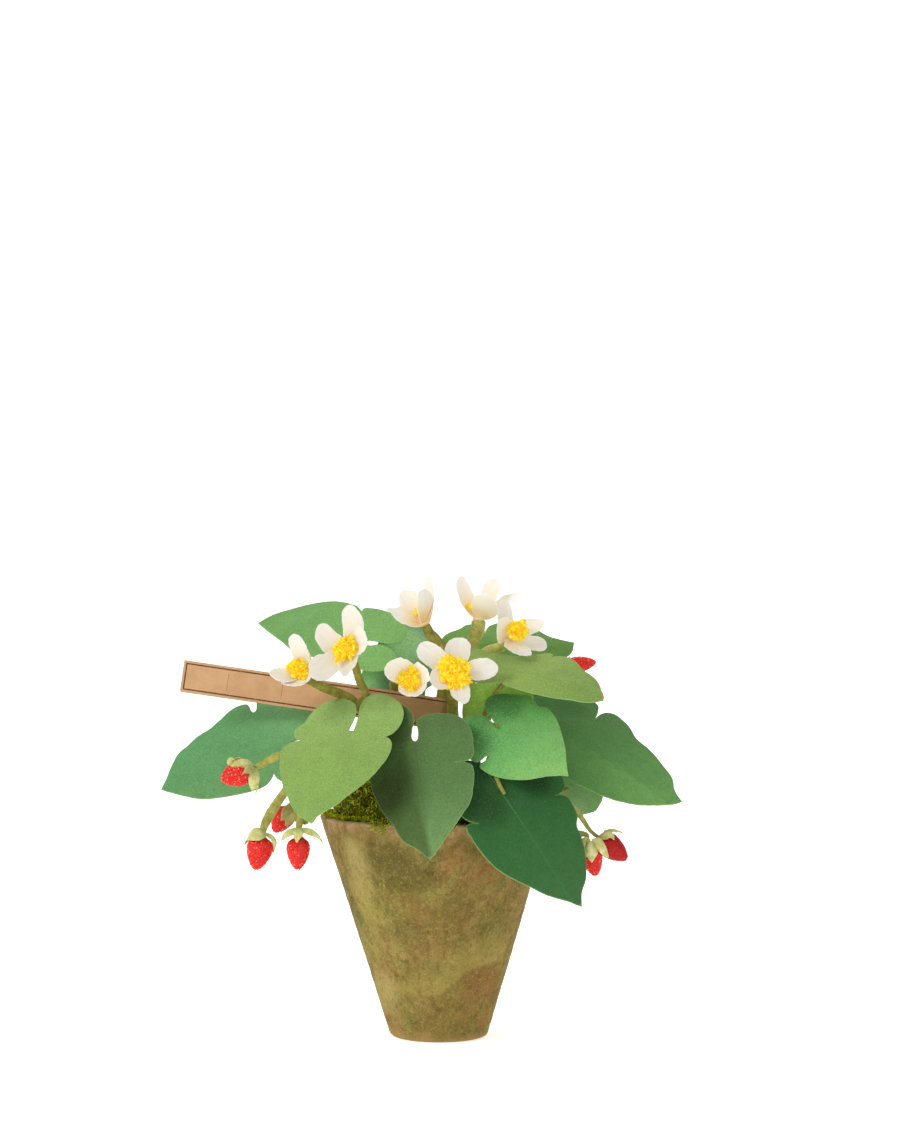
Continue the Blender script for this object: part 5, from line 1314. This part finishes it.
def pot_finish():
    """Aged clay: olive growth over red clay, a dusty lip, a tide line low on the front and fine mottling all over."""
    g = Graph("aged_terracotta")
    coord = g.coord()
    p = g.xyz(coord)
    wide = g.noise(coord, 14.0, 5.0, 0.6)
    mid = g.noise(coord, 42.0, 6.0, 0.62, 0.3)
    mottle = g.noise(coord, 150.0, 6.0, 0.68, 0.6)
    fine = g.noise(coord, 640.0, 4.0, 0.7, 0.8)
    speck = g.noise(coord, 1900.0, 3.0, 0.6)
    clay = g.mix(g.range(mottle, 0.38, 0.62), (150, 104, 56), (186, 142, 88))
    olive = g.mix(g.range(mottle, 0.37, 0.63), (104, 94, 42), (156, 140, 78))
    c = g.mix(g.range(mid, 0.38, 0.60), clay, olive)
    c = g.mix(0.40, c, olive)
    # green growth
    growth = g.range(g.noise(coord, 27.0, 6.0, 0.66, 0.5), 0.46, 0.62)
    c = g.mix(g.math("MULTIPLY", growth, 0.50), c, (104, 102, 38))
    # yellow dust of lichen
    dust = g.range(g.noise(coord, 52.0, 7.0, 0.74, 0.4), 0.50, 0.63)
    c = g.mix(g.math("MULTIPLY", dust, 0.50), c, (172, 158, 84))
    for where, reach, tone, amount in POT_PATCHES:
        c = g.mix(spot(g, coord, where, reach, mid, amount), c, tone)
    # a pale olive tide patch with a curved lower edge, and bare clay under it
    x = g.math("SUBTRACT", 0.036, p[0])
    edge = g.math("ADD", 0.0405, g.math("MULTIPLY", g.math("MULTIPLY", g.math("MULTIPLY", x, x), x), -331.0))
    edge = g.math("MAXIMUM", edge, 0.0250)
    edge = g.math("ADD", edge, g.math("MULTIPLY", g.math("SUBTRACT", mottle, 0.5), 0.006))
    front = g.range(p[1], -0.012, -0.026)
    above = g.math("SUBTRACT", p[2], edge)
    wash = g.math("MULTIPLY", g.range(above, -0.0005, 0.0012), g.range(above, 0.004, 0.024, 1.0, 0.0, "SMOOTHSTEP"))
    side = g.range(p[0], -0.022, -0.010)
    c = g.mix(g.math("MULTIPLY", g.math("MULTIPLY", g.math("MULTIPLY", wash, front), side), 0.62), c, (170, 152, 82))
    under = g.math("MULTIPLY", g.range(above, 0.001, -0.0015), front)
    under = g.math("MULTIPLY", under, g.range(p[0], -0.016, 0.010))
    c = g.mix(g.math("MULTIPLY", under, 0.42), c, (138, 100, 52))
    # fine dark threads and pits, pale flecks
    pits = g.range(fine, 0.34, 0.46, 1.0, 0.0)
    c = g.mix(g.math("MULTIPLY", pits, 0.55), c, (80, 70, 30))
    thread = g.range(g.noise(g.scaled(coord, (1.0, 1.0, 0.45)), 420.0, 5.0, 0.72, 1.4), 0.53, 0.64)
    c = g.mix(g.math("MULTIPLY", thread, 0.34), c, (98, 92, 34))
    flecks = g.range(fine, 0.55, 0.68)
    c = g.mix(g.math("MULTIPLY", flecks, 0.46), c, (198, 180, 116))
    c = g.mix(g.math("MULTIPLY", g.range(speck, 0.50, 0.68), 0.22), c, (200, 184, 128))
    # lip: dusty rose clay that thins out downwards, uneven round the pot
    band = g.math("ADD", p[2], g.math("MULTIPLY", g.math("SUBTRACT", mid, 0.5), 0.016))
    band = g.math("ADD", band, g.math("MULTIPLY", g.math("SUBTRACT", wide, 0.5), 0.012))
    upper = g.range(band, 0.1025, 0.1105, 0.0, 0.80, "SMOOTHSTEP")
    rose = g.mix(g.range(mottle, 0.40, 0.60), (166, 126, 90), (204, 172, 132))
    c = g.mix(g.math("MULTIPLY", upper, g.range(fine, 0.36, 0.52, 0.60, 1.0)), c, rose)
    lip = g.range(p[2], 0.1118, 0.1136, 0.0, 0.6)
    c = g.mix(lip, c, (206, 176, 140))
    # the moss has left green on it here and there
    c = g.mix(g.math("MULTIPLY", g.math("MULTIPLY", g.range(g.noise(coord, 70.0, 4.0, 0.6), 0.52, 0.64), g.range(p[2], 0.102, 0.108)), 0.45), c, (118, 112, 44))
    # worn foot
    foot = g.range(band, 0.001, 0.0075, 1.0, 0.0, "SMOOTHSTEP")
    c = g.mix(g.math("MULTIPLY", foot, 0.6), c, (184, 150, 100))
    c = g.mix(1.0, c, (240, 240, 230), "MULTIPLY")
    height = g.math("ADD", g.math("MULTIPLY", mottle, 0.35), g.math("MULTIPLY", fine, 0.65))
    g.surface(c, 0.94, g.bump(height, 0.45, 0.0005), specular=0.18)
    return g.mat


# patches on the wall: place and reach in metres, colour, strength
POT_PATCHES = [
    ((-0.041, -0.036, 0.094), 0.015, (188, 172, 110), 0.65),
    ((-0.038, -0.030, 0.080), 0.015, (182, 168, 102), 0.50),
    ((-0.024, -0.017, 0.026), 0.016, (190, 172, 108), 0.60),
    ((-0.026, -0.048, 0.095), 0.019, (88, 82, 32), 0.64),
    ((-0.014, -0.052, 0.088), 0.019, (92, 82, 34), 0.64),
    ((0.006, -0.052, 0.100), 0.013, (168, 106, 62), 0.50),
    ((0.024, -0.048, 0.096), 0.016, (156, 108, 62), 0.40),
    ((-0.034, -0.028, 0.066), 0.015, (172, 158, 86), 0.60),
    ((-0.030, -0.020, 0.052), 0.012, (176, 162, 92), 0.45),
    ((-0.010, -0.042, 0.072), 0.013, (142, 106, 60), 0.50),
    ((-0.016, -0.036, 0.058), 0.011, (98, 92, 42), 0.45),
    ((0.030, -0.036, 0.062), 0.018, (104, 98, 42), 0.55),
    ((0.008, -0.046, 0.076), 0.016, (120, 100, 46), 0.45),
    ((-0.014, -0.030, 0.040), 0.009, (104, 96, 46), 0.50),
    ((0.018, -0.024, 0.026), 0.018, (148, 98, 52), 0.45),
    ((0.024, -0.014, 0.010), 0.013, (168, 104, 60), 0.50),
    ((-0.004, -0.027, 0.010), 0.014, (128, 112, 56), 0.45),
    ((0.044, -0.024, 0.092), 0.022, (158, 122, 72), 0.45),
    ((-0.050, 0.006, 0.082), 0.022, (160, 146, 80), 0.45),
    ((0.030, 0.036, 0.074), 0.024, (108, 104, 46), 0.55),
    ((-0.020, 0.048, 0.090), 0.022, (164, 112, 64), 0.45),
    ((-0.024, 0.026, 0.036), 0.020, (168, 154, 84), 0.50),
    ((0.012, 0.030, 0.024), 0.016, (160, 108, 62), 0.50),
    ((0.052, 0.010, 0.100), 0.020, (106, 102, 46), 0.50),
]


def pot_piece():
    foot = POT_FOOT
    cx = POT_BASE + (foot * math.sin(WALL_ANGLE) - foot) / math.cos(WALL_ANGLE)
    prof = [(0, 0)]
    for r in (6, 12, 17, 20):
        prof.append((r, 0.0))
    for i in range(9):
        a = -math.pi / 2 + (math.pi / 2 - WALL_ANGLE) * i / 8
        prof.append((cx + foot * math.cos(a), foot + foot * math.sin(a)))
    zz = np.linspace(foot + 1.5, POT_HEIGHT - 1.6, 96)
    prof += [(outer_radius(z), z) for z in zz]
    top = POT_HEIGHT
    prof += [(POT_RIM - 0.35, top - 0.9), (POT_RIM - 0.7, top - 0.3), (POT_RIM - 1.3, top), (POT_RIM - 2.4, top + 0.05),
             (POT_RIM - POT_WALL + 1.2, top), (POT_RIM - POT_WALL + 0.6, top - 0.35), (outer_radius(top - 1) - POT_WALL, top - 1.1)]
    for z in np.linspace(top - 5, POT_FLOOR + 2, 16):
        prof.append((outer_radius(z) - POT_WALL, z))
    prof += [(outer_radius(POT_FLOOR) - POT_WALL - 2, POT_FLOOR), (8, POT_FLOOR), (0, POT_FLOOR)]
    sides = 180
    verts, faces = lathe_points([(r, z) for r, z in prof], sides)
    # the profile goes up and comes down again inside, so its faces already point out of the clay
    out = []
    for v in verts:
        r = math.hypot(v[0], v[1])
        a = math.atan2(v[1], v[0])
        k = 0.0
        if r > 1 and v[2] > 1.0:
            k = noise.fractal(Vector((math.cos(a) * 1.6, math.sin(a) * 1.6, v[2] * 0.022)), 1.0, 2.0, 3) * 0.42
            k += noise.fractal(Vector((math.cos(a) * 14, math.sin(a) * 14, v[2] * 0.22)), 1.0, 2.0, 3) * 0.13
            k += math.sin(v[2] * 0.9 + 1.2 * math.sin(a)) * 0.05
            if v[2] > top - 1.5:
                k += noise.noise(Vector((math.cos(a) * 9, math.sin(a) * 9, 4.0))) * 0.25
        dz = 0.0
        if v[2] > top - 1.5:
            dz = noise.fractal(Vector((math.cos(a) * 4, math.sin(a) * 4, 7.0)), 1.0, 2.0, 2) * 0.35 - 0.15
        s = (r + k) / r if r > 1 else 1.0
        out.append((v[0] * s + POT_LEAN * v[2], v[1] * s, v[2] + dz))
    return make("vis_pot", out, faces, [pot_finish()], [0] * len(faces), True, None, node="pot")


def moss_material():
    g = Graph("moss")
    coord = g.coord()
    tone = g.attr("tone", "Fac")
    n = g.noise(coord, 70.0, 4.0, 0.6)
    c = g.ramp(tone, [(0.0, (44, 44, 2)), (0.25, (120, 122, 8)), (0.55, (204, 206, 28)), (1.0, (248, 242, 92))])
    c = g.mix(g.range(n, 0.45, 0.7, 0.0, 0.30), c, (166, 176, 18))
    fine = g.noise(coord, 1700.0, 3.0, 0.6)
    c = g.mix(g.math("MULTIPLY", fine, 0.12), c, (104, 102, 12))
    g.surface(c, 0.9, g.bump(fine, 0.4, 0.0003), specular=0.15)
    g.bsdf.inputs["Subsurface Weight"].default_value = 0.25
    g.bsdf.inputs["Subsurface Radius"].default_value = (0.9, 1.0, 0.1)
    g.bsdf.inputs["Subsurface Scale"].default_value = 0.0008
    return g.mat


def moss_clump(x, y):
    """-1 in the gaps between the cushions of moss, 1 on their tops."""
    a = noise.noise(Vector((x * 0.30, y * 0.30, 8.0)))
    b = noise.noise(Vector((x * 0.13 + 7, y * 0.13, 3.0)))
    return max(-1.0, min(1.0, 1.9 * (0.65 * a + 0.45 * b)))


def moss_top(x, y):
    """Height of the mound at a place given from the pot's axis."""
    rim = outer_radius(POT_HEIGHT - 1) - POT_WALL - 0.6
    r = math.hypot(x, y)
    t = min(1.0, r / rim)
    z = POT_HEIGHT - 1.2 + 21.5 * (1 - t ** 7.0)
    return z + moss_clump(x, y) * 1.1 * (1 - t ** 6) - 1.6


def moss_piece(mat):
    rim = outer_radius(POT_HEIGHT - 1) - POT_WALL - 0.6
    bottom = 106.4
    foot = outer_radius(bottom) - POT_WALL - 0.8
    rings, spokes = 46, 150
    verts, faces, tone = [(0, 0, moss_top(0, 0))], [], [0.1]
    for i in range(1, rings + 1):
        r = rim * i / rings
        for j in range(spokes):
            a = 2 * math.pi * j / spokes
            x, y = r * math.cos(a), r * math.sin(a)
            verts.append((x, y, moss_top(x, y)))
            tone.append(0.06)
    at = lambda i, j: 1 + (i - 1) * spokes + j % spokes
    for j in range(spokes):
        faces.append((0, at(1, j), at(1, j + 1)))
    for i in range(1, rings):
        for j in range(spokes):
            faces.append((at(i, j), at(i + 1, j), at(i + 1, j + 1), at(i, j + 1)))
    low = len(verts)
    for j in range(spokes):
        a = 2 * math.pi * j / spokes
        verts.append((foot * math.cos(a), foot * math.sin(a), bottom))
        tone.append(0.0)
    verts.append((0, 0, bottom))
    tone.append(0.0)
    for j in range(spokes):
        k = (j + 1) % spokes
        faces.append((at(rings, j), low + j, low + k, at(rings, j + 1)))
        faces.append((low + j, len(verts) - 1, low + k))
    parts = [(verts, faces, tone, 0)]
    rnd = np.random.default_rng(41)

    def strand(p, d, length, curl, radius, tn, k=6):
        """A short curled thread of moss: three sides, closed at both ends."""
        d = unit(d)
        bend = unit(np.cross(d, rnd.normal(size=3)))
        pts = []
        q = np.array(p, float)
        for s in range(k):
            pts.append(q.copy())
            d = unit(d + bend * curl / k)
            bend = unit(bend + rnd.normal(0, 0.35, 3))
            q = q + d * length / (k - 1)
        vs, fs, ts = [], [], []
        x = unit(np.cross(d, [0.2, 0.3, 1.0]))
        y = np.cross(d, x)
        for s in range(k):
            rr = radius * (1 - 0.45 * (s / (k - 1)) ** 2)
            for m in range(3):
                a = 2 * math.pi * m / 3
                vs.append(pts[s] + rr * (math.cos(a) * x + math.sin(a) * y))
                ts.append(tn * (0.45 + 0.55 * s / (k - 1)))
        for s in range(k - 1):
            for m in range(3):
                a, b = 3 * s + m, 3 * s + (m + 1) % 3
                fs.append((a, b, b + 3, a + 3))
        fs.append((2, 1, 0))
        e = 3 * (k - 1)
        fs.append((e, e + 1, e + 2))
        return vs, fs, ts, 0

    count = 9500
    for i in range(count):
        r = rim * math.sqrt(rnd.uniform(0, 1)) * 0.995
        a = rnd.uniform(0, 2 * math.pi)
        x, y = r * math.cos(a), r * math.sin(a)
        clump = moss_clump(x, y)
        if clump < -0.35 and rnd.random() < 0.45:
            continue
        z = moss_top(x, y) - 0.25
        t = r / rim
        n = np.array([math.cos(a) * t ** 3 * 1.4, math.sin(a) * t ** 3 * 1.4, 0.8]) + rnd.normal(0, 0.75, 3)
        n[2] = max(n[2], 0.0)
        length = rnd.uniform(1.9, 3.8)
        if r > rim - 2.0 and n[:2] @ np.array([math.cos(a), math.sin(a)]) > 0:
            length *= 0.6
        tn = min(1.0, max(0.05, 0.50 + 0.42 * clump + rnd.normal(0, 0.20)))
        parts.append(strand((x, y, z), n, length, rnd.uniform(4.0, 8.5), rnd.uniform(0.22, 0.40), tn))
    # cushions that creep over the lip: angle, half width in degrees, how far out, how many
    for deg, half, reach, many in MOSS_EDGE:
        for i in range(many):
            a = math.radians(deg + rnd.uniform(-1, 1) * half)
            out = np.array([math.cos(a), math.sin(a), 0.0])
            r = rim - 1.0 + rnd.uniform(0.0, 1.0) * reach
            over = max(0.0, r - rim + 0.6)
            lift = 1.6 * math.sqrt(max(0.0, 1 - ((r - rim) / (reach + 0.2)) ** 2)) * rnd.uniform(0.3, 1.0)
            z = POT_HEIGHT + 0.15 + lift if r < POT_RIM - 0.6 else POT_HEIGHT - 0.6 - (r - POT_RIM) * 1.2
            z -= 0.25 * over * 0.2
            parts.append(strand((r * out[0], r * out[1], z), out * 0.5 + np.array([0, 0, 0.3]) + rnd.normal(0, 0.7, 3), rnd.uniform(0.9, 1.8), rnd.uniform(2.0, 5.0), rnd.uniform(0.16, 0.27), rnd.uniform(0.25, 0.9)))
    # tufts that hang over the lip
    for deg, many, reach, drop in MOSS_TUFTS:
        for i in range(many):
            a = math.radians(deg + rnd.normal(0, 2.0))
            out = np.array([math.cos(a), math.sin(a), 0.0])
            t = rnd.uniform(0, 1)
            r = POT_RIM - 3.5 + min(t * 6.5, 4.6) + rnd.uniform(-0.3, 0.5)
            z = POT_HEIGHT + 0.4 - max(0.0, t - 0.45) / 0.55 * drop
            parts.append(strand((r * out[0], r * out[1], z), out * 0.6 + np.array([0, 0, -0.5 * t]) + rnd.normal(0, 0.6, 3), rnd.uniform(1.0, 2.2), rnd.uniform(1.5, 4.5), rnd.uniform(0.16, 0.26), rnd.uniform(0.2, 0.85)))
    V, F, T, M = join(parts)
    V = np.array(V)
    V[:, 0] += POT_LEAN * V[:, 2]
    return make("vis_moss", V, F, [mat], M, False, {"tone": np.array(T)}, node="moss")


MOSS_EDGE = [(-120, 22, 2.6, 420), (-160, 18, 4.4, 520), (178, 9, 4.6, 320), (-86, 7, 3.0, 160), (-60, 12, 2.6, 200), (-20, 20, 2.0, 220), (30, 22, 2.4, 240), (75, 20, 2.8, 260), (120, 20, 2.4, 240)]
MOSS_TUFTS = [(-117.5, 70, 4.0, 5.2), (-114.0, 50, 4.0, 6.4), (-82.5, 60, 3.6, 4.6), (-121, 30, 3.0, 2.4), (-40, 20, 3.0, 3.0), (40, 26, 3.0, 4.0), (110, 30, 3.0, 4.4), (165, 16, 3.0, 2.4)]


def foam_material():
    g = Graph("dry_foam")
    coord = g.coord()
    cells = g.voronoi(coord, 1500.0)
    n = g.noise(coord, 300.0, 4.0, 0.6)
    c = g.mix(g.range(n, 0.35, 0.65), (96, 108, 72), (126, 136, 96))
    c = g.mix(g.range(cells, 0.1, 0.5, 0.5, 0.0), c, (66, 74, 48))
    return g.surface(c, 0.96, g.bump(cells, 0.6, 0.0004), specular=0.1)


# ---- label -----------------------------------------------------------------------------------
def label_material():
    g = Graph("kraft_card")
    at = g.xyz(g.attr("label_xy"))
    coord = g.coord()
    n = g.noise(coord, 130.0, 5.0, 0.6)
    fibre = g.noise(g.scaled(coord, (1.0, 1.0, 3.4)), 900.0, 4.0, 0.65)
    fine = g.noise(coord, 2400.0, 3.0, 0.6)
    c = g.mix(g.range(n, 0.36, 0.66), (200, 155, 112), (209, 166, 124))
    c = g.mix(g.math("MULTIPLY", g.range(fibre, 0.5, 0.7), 0.30), c, (186, 143, 98))
    c = g.mix(g.math("MULTIPLY", g.range(fine, 0.52, 0.72), 0.35), c, (228, 196, 156))
    # plain printed frame and two dividers
    worn = g.range(g.noise(coord, 1100.0, 3.0, 0.6), 0.30, 0.46, 0.45, 1.0)
    half = LABEL_HEIGHT / 2 - 1.55
    zz = g.math("ABSOLUTE", at[1])
    rail = g.math("MULTIPLY", g.range(g.math("ABSOLUTE", g.math("SUBTRACT", zz, half)), 0.27, 0.46, 1.0, 0.0), g.range(at[0], -LABEL_LENGTH + 1.3, -LABEL_LENGTH + 1.6))
    end = g.math("MULTIPLY", g.range(g.math("ABSOLUTE", g.math("ADD", at[0], LABEL_LENGTH - 1.6)), 0.27, 0.46, 1.0, 0.0), g.range(zz, half + 0.2, half + 0.45, 1.0, 0.0))
    lines = g.math("MAXIMUM", rail, end)
    for x in LABEL_DIVIDERS:
        d = g.math("MULTIPLY", g.range(g.math("ABSOLUTE", g.math("SUBTRACT", at[0], x)), 0.10, 0.26, 0.50, 0.0), g.range(zz, 4.1, 4.6, 1.0, 0.0))
        lines = g.math("MAXIMUM", lines, d)
    front = g.range(at[2], 0.4, 0.6)
    c = g.mix(g.math("MULTIPLY", g.math("MULTIPLY", lines, worn), front), c, (92, 62, 44))
    # rubbed brown where the strip turns round the stem
    c = g.mix(g.range(at[0], -0.6, 3.4, 0.0, 0.62, "SMOOTHSTEP"), c, (150, 106, 66))
    return g.surface(c, 0.9, g.bump(g.math("ADD", fibre, fine), 0.35, 0.00015), specular=0.2)


def label_edge_material():
    g = Graph("kraft_edge")
    coord = g.coord()
    n = g.noise(coord, 1600.0, 3.0, 0.6)
    c = g.mix(n, (168, 122, 80), (206, 166, 120))
    return g.surface(c, 0.95, g.bump(n, 0.3, 0.0001), specular=0.15)


def label_piece():
    X = np.array([math.cos(LABEL_TILT), 0, -math.sin(LABEL_TILT)])
    Y = np.array([0, 1.0, 0])
    Z = np.cross(X, Y)
    mid = np.array(LABEL_MIDDLE)
    half = LABEL_HEIGHT / 2
    rows = 16
    sheets = []

    def lane(path, thick, front, shift=0.0):
        """One layer of card along path (points (x, y, dip, twist)), LABEL_HEIGHT wide."""
        path = np.array(path, float)
        t = np.gradient(path[:, :2], axis=0)
        t /= np.linalg.norm(t, axis=1)[:, None]
        nrm = np.c_[t[:, 1], -t[:, 0]]
        along = np.r_[0, np.cumsum(np.linalg.norm(np.diff(path[:, :2], axis=0), axis=1))]
        n = len(path)
        grid_a, grid_b, att = [], [], []
        for i in range(n):
            for j in range(rows + 1):
                q = -half + LABEL_HEIGHT * j / rows
                bow = 0.18 * noise.noise(Vector((path[i][0] * 0.05, q * 0.12, 3.0 + shift)))
                wave = 0.30 * noise.noise(Vector((path[i][0] * 0.035, 1.0 + shift, q * 0.03)))
                off = bow + wave
                z = q + path[i][2]
                tilt = path[i][3] * q
                for s, g_ in ((0.5, grid_a), (-0.5, grid_b)):
                    x = path[i][0] + nrm[i][0] * (off * 0.6 + thick * s + tilt)
                    y = path[i][1] + nrm[i][1] * (off * 0.6 + thick * s + tilt)
                    g_.append(mid + x * X + y * Y + z * Z)
                att.append((path[i][0], q, 1.0 if front else 0.0))
        m = rows + 1
        N = n * m
        verts = grid_a + grid_b
        faces, kind = [], []
        for i in range(n - 1):
            for j in range(rows):
                a, b, c, d = i * m + j, i * m + j + 1, (i + 1) * m + j + 1, (i + 1) * m + j
                faces.append((a, d, c, b))
                faces.append((N + a, N + b, N + c, N + d))
                kind += [0, 2 if front else 0]
        base = len(verts)
        ring = [i * m for i in range(n)] + [(n - 1) * m + j for j in range(1, m)] + [i * m + rows for i in range(n - 2, -1, -1)] + [j for j in range(rows - 1, 0, -1)]
        k = len(ring)
        verts = verts + [grid_a[i] for i in ring] + [grid_b[i] for i in ring]
        att2 = att + att + [att[i] for i in ring] * 2
        for i in range(k):
            j = (i + 1) % k
            faces.append((base + i, base + k + i, base + k + j, base + j))
            kind.append(1)
        return verts, faces, kind, att2

    def dip(x):
        t = np.clip((x + 24.0) / 22.0, 0, 1)
        return -LABEL_DIP * t * t * (3 - 2 * t)

    r = LABEL_LOOP - 0.35
    front = [(x, -r, dip(x), 0.0) for x in np.linspace(-LABEL_LENGTH, -0.4, 120)]
    loop = []
    end = math.pi + math.asin((LABEL_LOOP - LABEL_LAYERS) / LABEL_LOOP)
    for a in np.linspace(-math.pi / 2, end - 0.12, 40):
        loop.append((r * math.cos(a), r * math.sin(a), dip(0), 0.0))
    back = [(x, -r + 0.52, dip(x) - 0.25 * np.clip((-x - 60) / 70, 0, 1), 0.0) for x in np.linspace(-LABEL_LOOP - 0.4, -LABEL_LENGTH + 0.4, 110)]
    mats = [label_material(), label_edge_material(), label_material_back()]
    V, F, K, A = [], [], [], []
    for verts, faces, kind, att in (lane(front + loop, 0.42, True), lane(back, 0.42, False, 5.0)):
        o = len(V)
        V += verts
        F += [tuple(i + o for i in f) for f in faces]
        K += kind
        A += att
    return make("vis_plant_label", V, F, mats, K, True, {"label_xy": np.array(A)}, node="plant_label")


def label_material_back():
    g = Graph("kraft_plain")
    coord = g.coord()
    n = g.noise(coord, 130.0, 5.0, 0.6)
    fine = g.noise(coord, 1800.0, 4.0, 0.6)
    c = g.mix(g.range(n, 0.36, 0.66), (188, 146, 100), (206, 166, 122))
    c = g.mix(g.math("MULTIPLY", g.range(fine, 0.52, 0.72), 0.4), c, (168, 124, 82))
    return g.surface(c, 0.92, g.bump(fine, 0.35, 0.00015), specular=0.2)


# ---- build ------------------------------------------------------------------------------------
for name, leaf in LEAVES.items():
    leaf_piece(name, leaf, LOOKS[name])

flower_tape = stem_material("flower", (166, 160, 74), (118, 114, 40), (132, 110, 50))
pale_tape = stem_material("flower_pale", (208, 206, 124), (164, 162, 78), (166, 148, 84))
petiole_tape = stem_material("petiole", (172, 168, 84), (118, 118, 46), (140, 118, 60))
fruit_tape = stem_material("fruit", (192, 188, 104), (142, 142, 64), (162, 138, 80))
for name, stem in STEMS.items():
    tape = petiole_tape if name.startswith("leaf") else fruit_tape if name.startswith("fruit") else pale_tape if name == "flower_stalk_right" else flower_tape
    stem_piece(name, stem, [tape])

fringe = tuft_material()
for key, flower in FLOWERS.items():
    corolla_piece(key, flower)
    tuft_piece(key, flower, fringe)

beads, sepal_paper = berry_material(), calyx_material()
for key, berry in BERRIES.items():
    berry_piece(key, berry, beads)
    calyx_piece(key, berry, sepal_paper)

pot_piece()
moss_piece(moss_material())
label_piece()

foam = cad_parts["foam_plug"]
foam.data.materials.clear()
foam.data.materials.append(foam_material())

# ---- stage, lights and camera ---------------------------------------------------------------------
def stage_material():
    g = Graph("studio_white")
    coord = g.coord()
    n = g.noise(coord, 3.0, 2.0, 0.5)
    c = g.mix(n, (252, 252, 251), (254, 254, 254))
    g.surface(c, 0.9, None, specular=0.1)
    g.bsdf.inputs["Emission Color"].default_value = (1.0, 1.0, 1.0, 1.0)
    g.bsdf.inputs["Emission Strength"].default_value = STAGE_GLOW
    return g.mat


STAGE_GLOW = 0.55


def studio():
    me = bpy.data.meshes.new("floor")
    bm = bmesh.new()
    rows = []
    # a flat floor that curves up behind, all one sweep
    line = [(-2.6, 0.0), (1.2, 0.0)]
    for i in range(1, 13):
        a = math.pi / 2 * i / 12
        line.append((1.2 + 0.8 * math.sin(a), 0.8 - 0.8 * math.cos(a)))
    line.append((2.0, 3.2))
    for y, z in line:
        rows.append([bm.verts.new((x, y, z)) for x in (-3.4, 3.4)])
    for a, b in zip(rows, rows[1:]):
        bm.faces.new((a[0], a[1], b[1], b[0]))
    bm.to_mesh(me)
    bm.free()
    for p in me.polygons:
        p.use_smooth = True
    floor = bpy.data.objects.new("floor", me)
    bpy.context.scene.collection.objects.link(floor)
    me.materials.append(stage_material())
    world = bpy.data.worlds.new("studio")
    bpy.context.scene.world = world
    world.use_nodes = True
    bg = world.node_tree.nodes["Background"]
    bg.inputs[0].default_value = (1.0, 1.0, 1.0, 1.0)
    bg.inputs[1].default_value = WORLD_LIGHT

    def lamp(name, where, target, size, power, color=(1, 1, 1)):
        data = bpy.data.lights.new(name, "AREA")
        data.shape = "RECTANGLE"
        data.size, data.size_y = size
        data.energy = power
        data.color = color
        ob = bpy.data.objects.new(name, data)
        bpy.context.scene.collection.objects.link(ob)
        ob.location = where
        ob.rotation_mode = "QUATERNION"
        ob.rotation_quaternion = (Vector(target) - Vector(where)).to_track_quat("-Z", "Y")
        return ob
    for args in LAMPS:
        lamp(*args)


WORLD_LIGHT = 0.44
LAMPS = [
    ("key", (-1.25, -1.0, 1.15), (0, 0, 0.14), (0.7, 0.7), 13.2, (1.0, 0.985, 0.955)),
    ("fill", (1.2, -1.1, 0.8), (0, 0, 0.12), (1.2, 1.0), 2.2, (1.0, 0.995, 0.985)),
    ("top", (0.1, 0.3, 1.6), (0, 0, 0.12), (1.2, 1.2), 3.2, (1.0, 1.0, 1.0)),
]
studio()

camera_data = bpy.data.cameras.new("camera")
camera = bpy.data.objects.new("camera", camera_data)
bpy.context.scene.collection.objects.link(camera)
camera_data.sensor_fit = "AUTO"
camera_data.sensor_width = 36.0
camera_data.lens = 36.0 * 2696.2 / 1125.0
camera_data.clip_start, camera_data.clip_end = 0.05, 20.0
camera.location = (0.0, -1.39417, 0.24162)
camera.rotation_mode = "QUATERNION"
camera.rotation_quaternion = Vector((0.00400865, 0.99999041, 0.00176561)).to_track_quat("-Z", "Y")
bpy.context.scene.camera = camera
bpy.context.scene.view_settings.view_transform = "Standard"
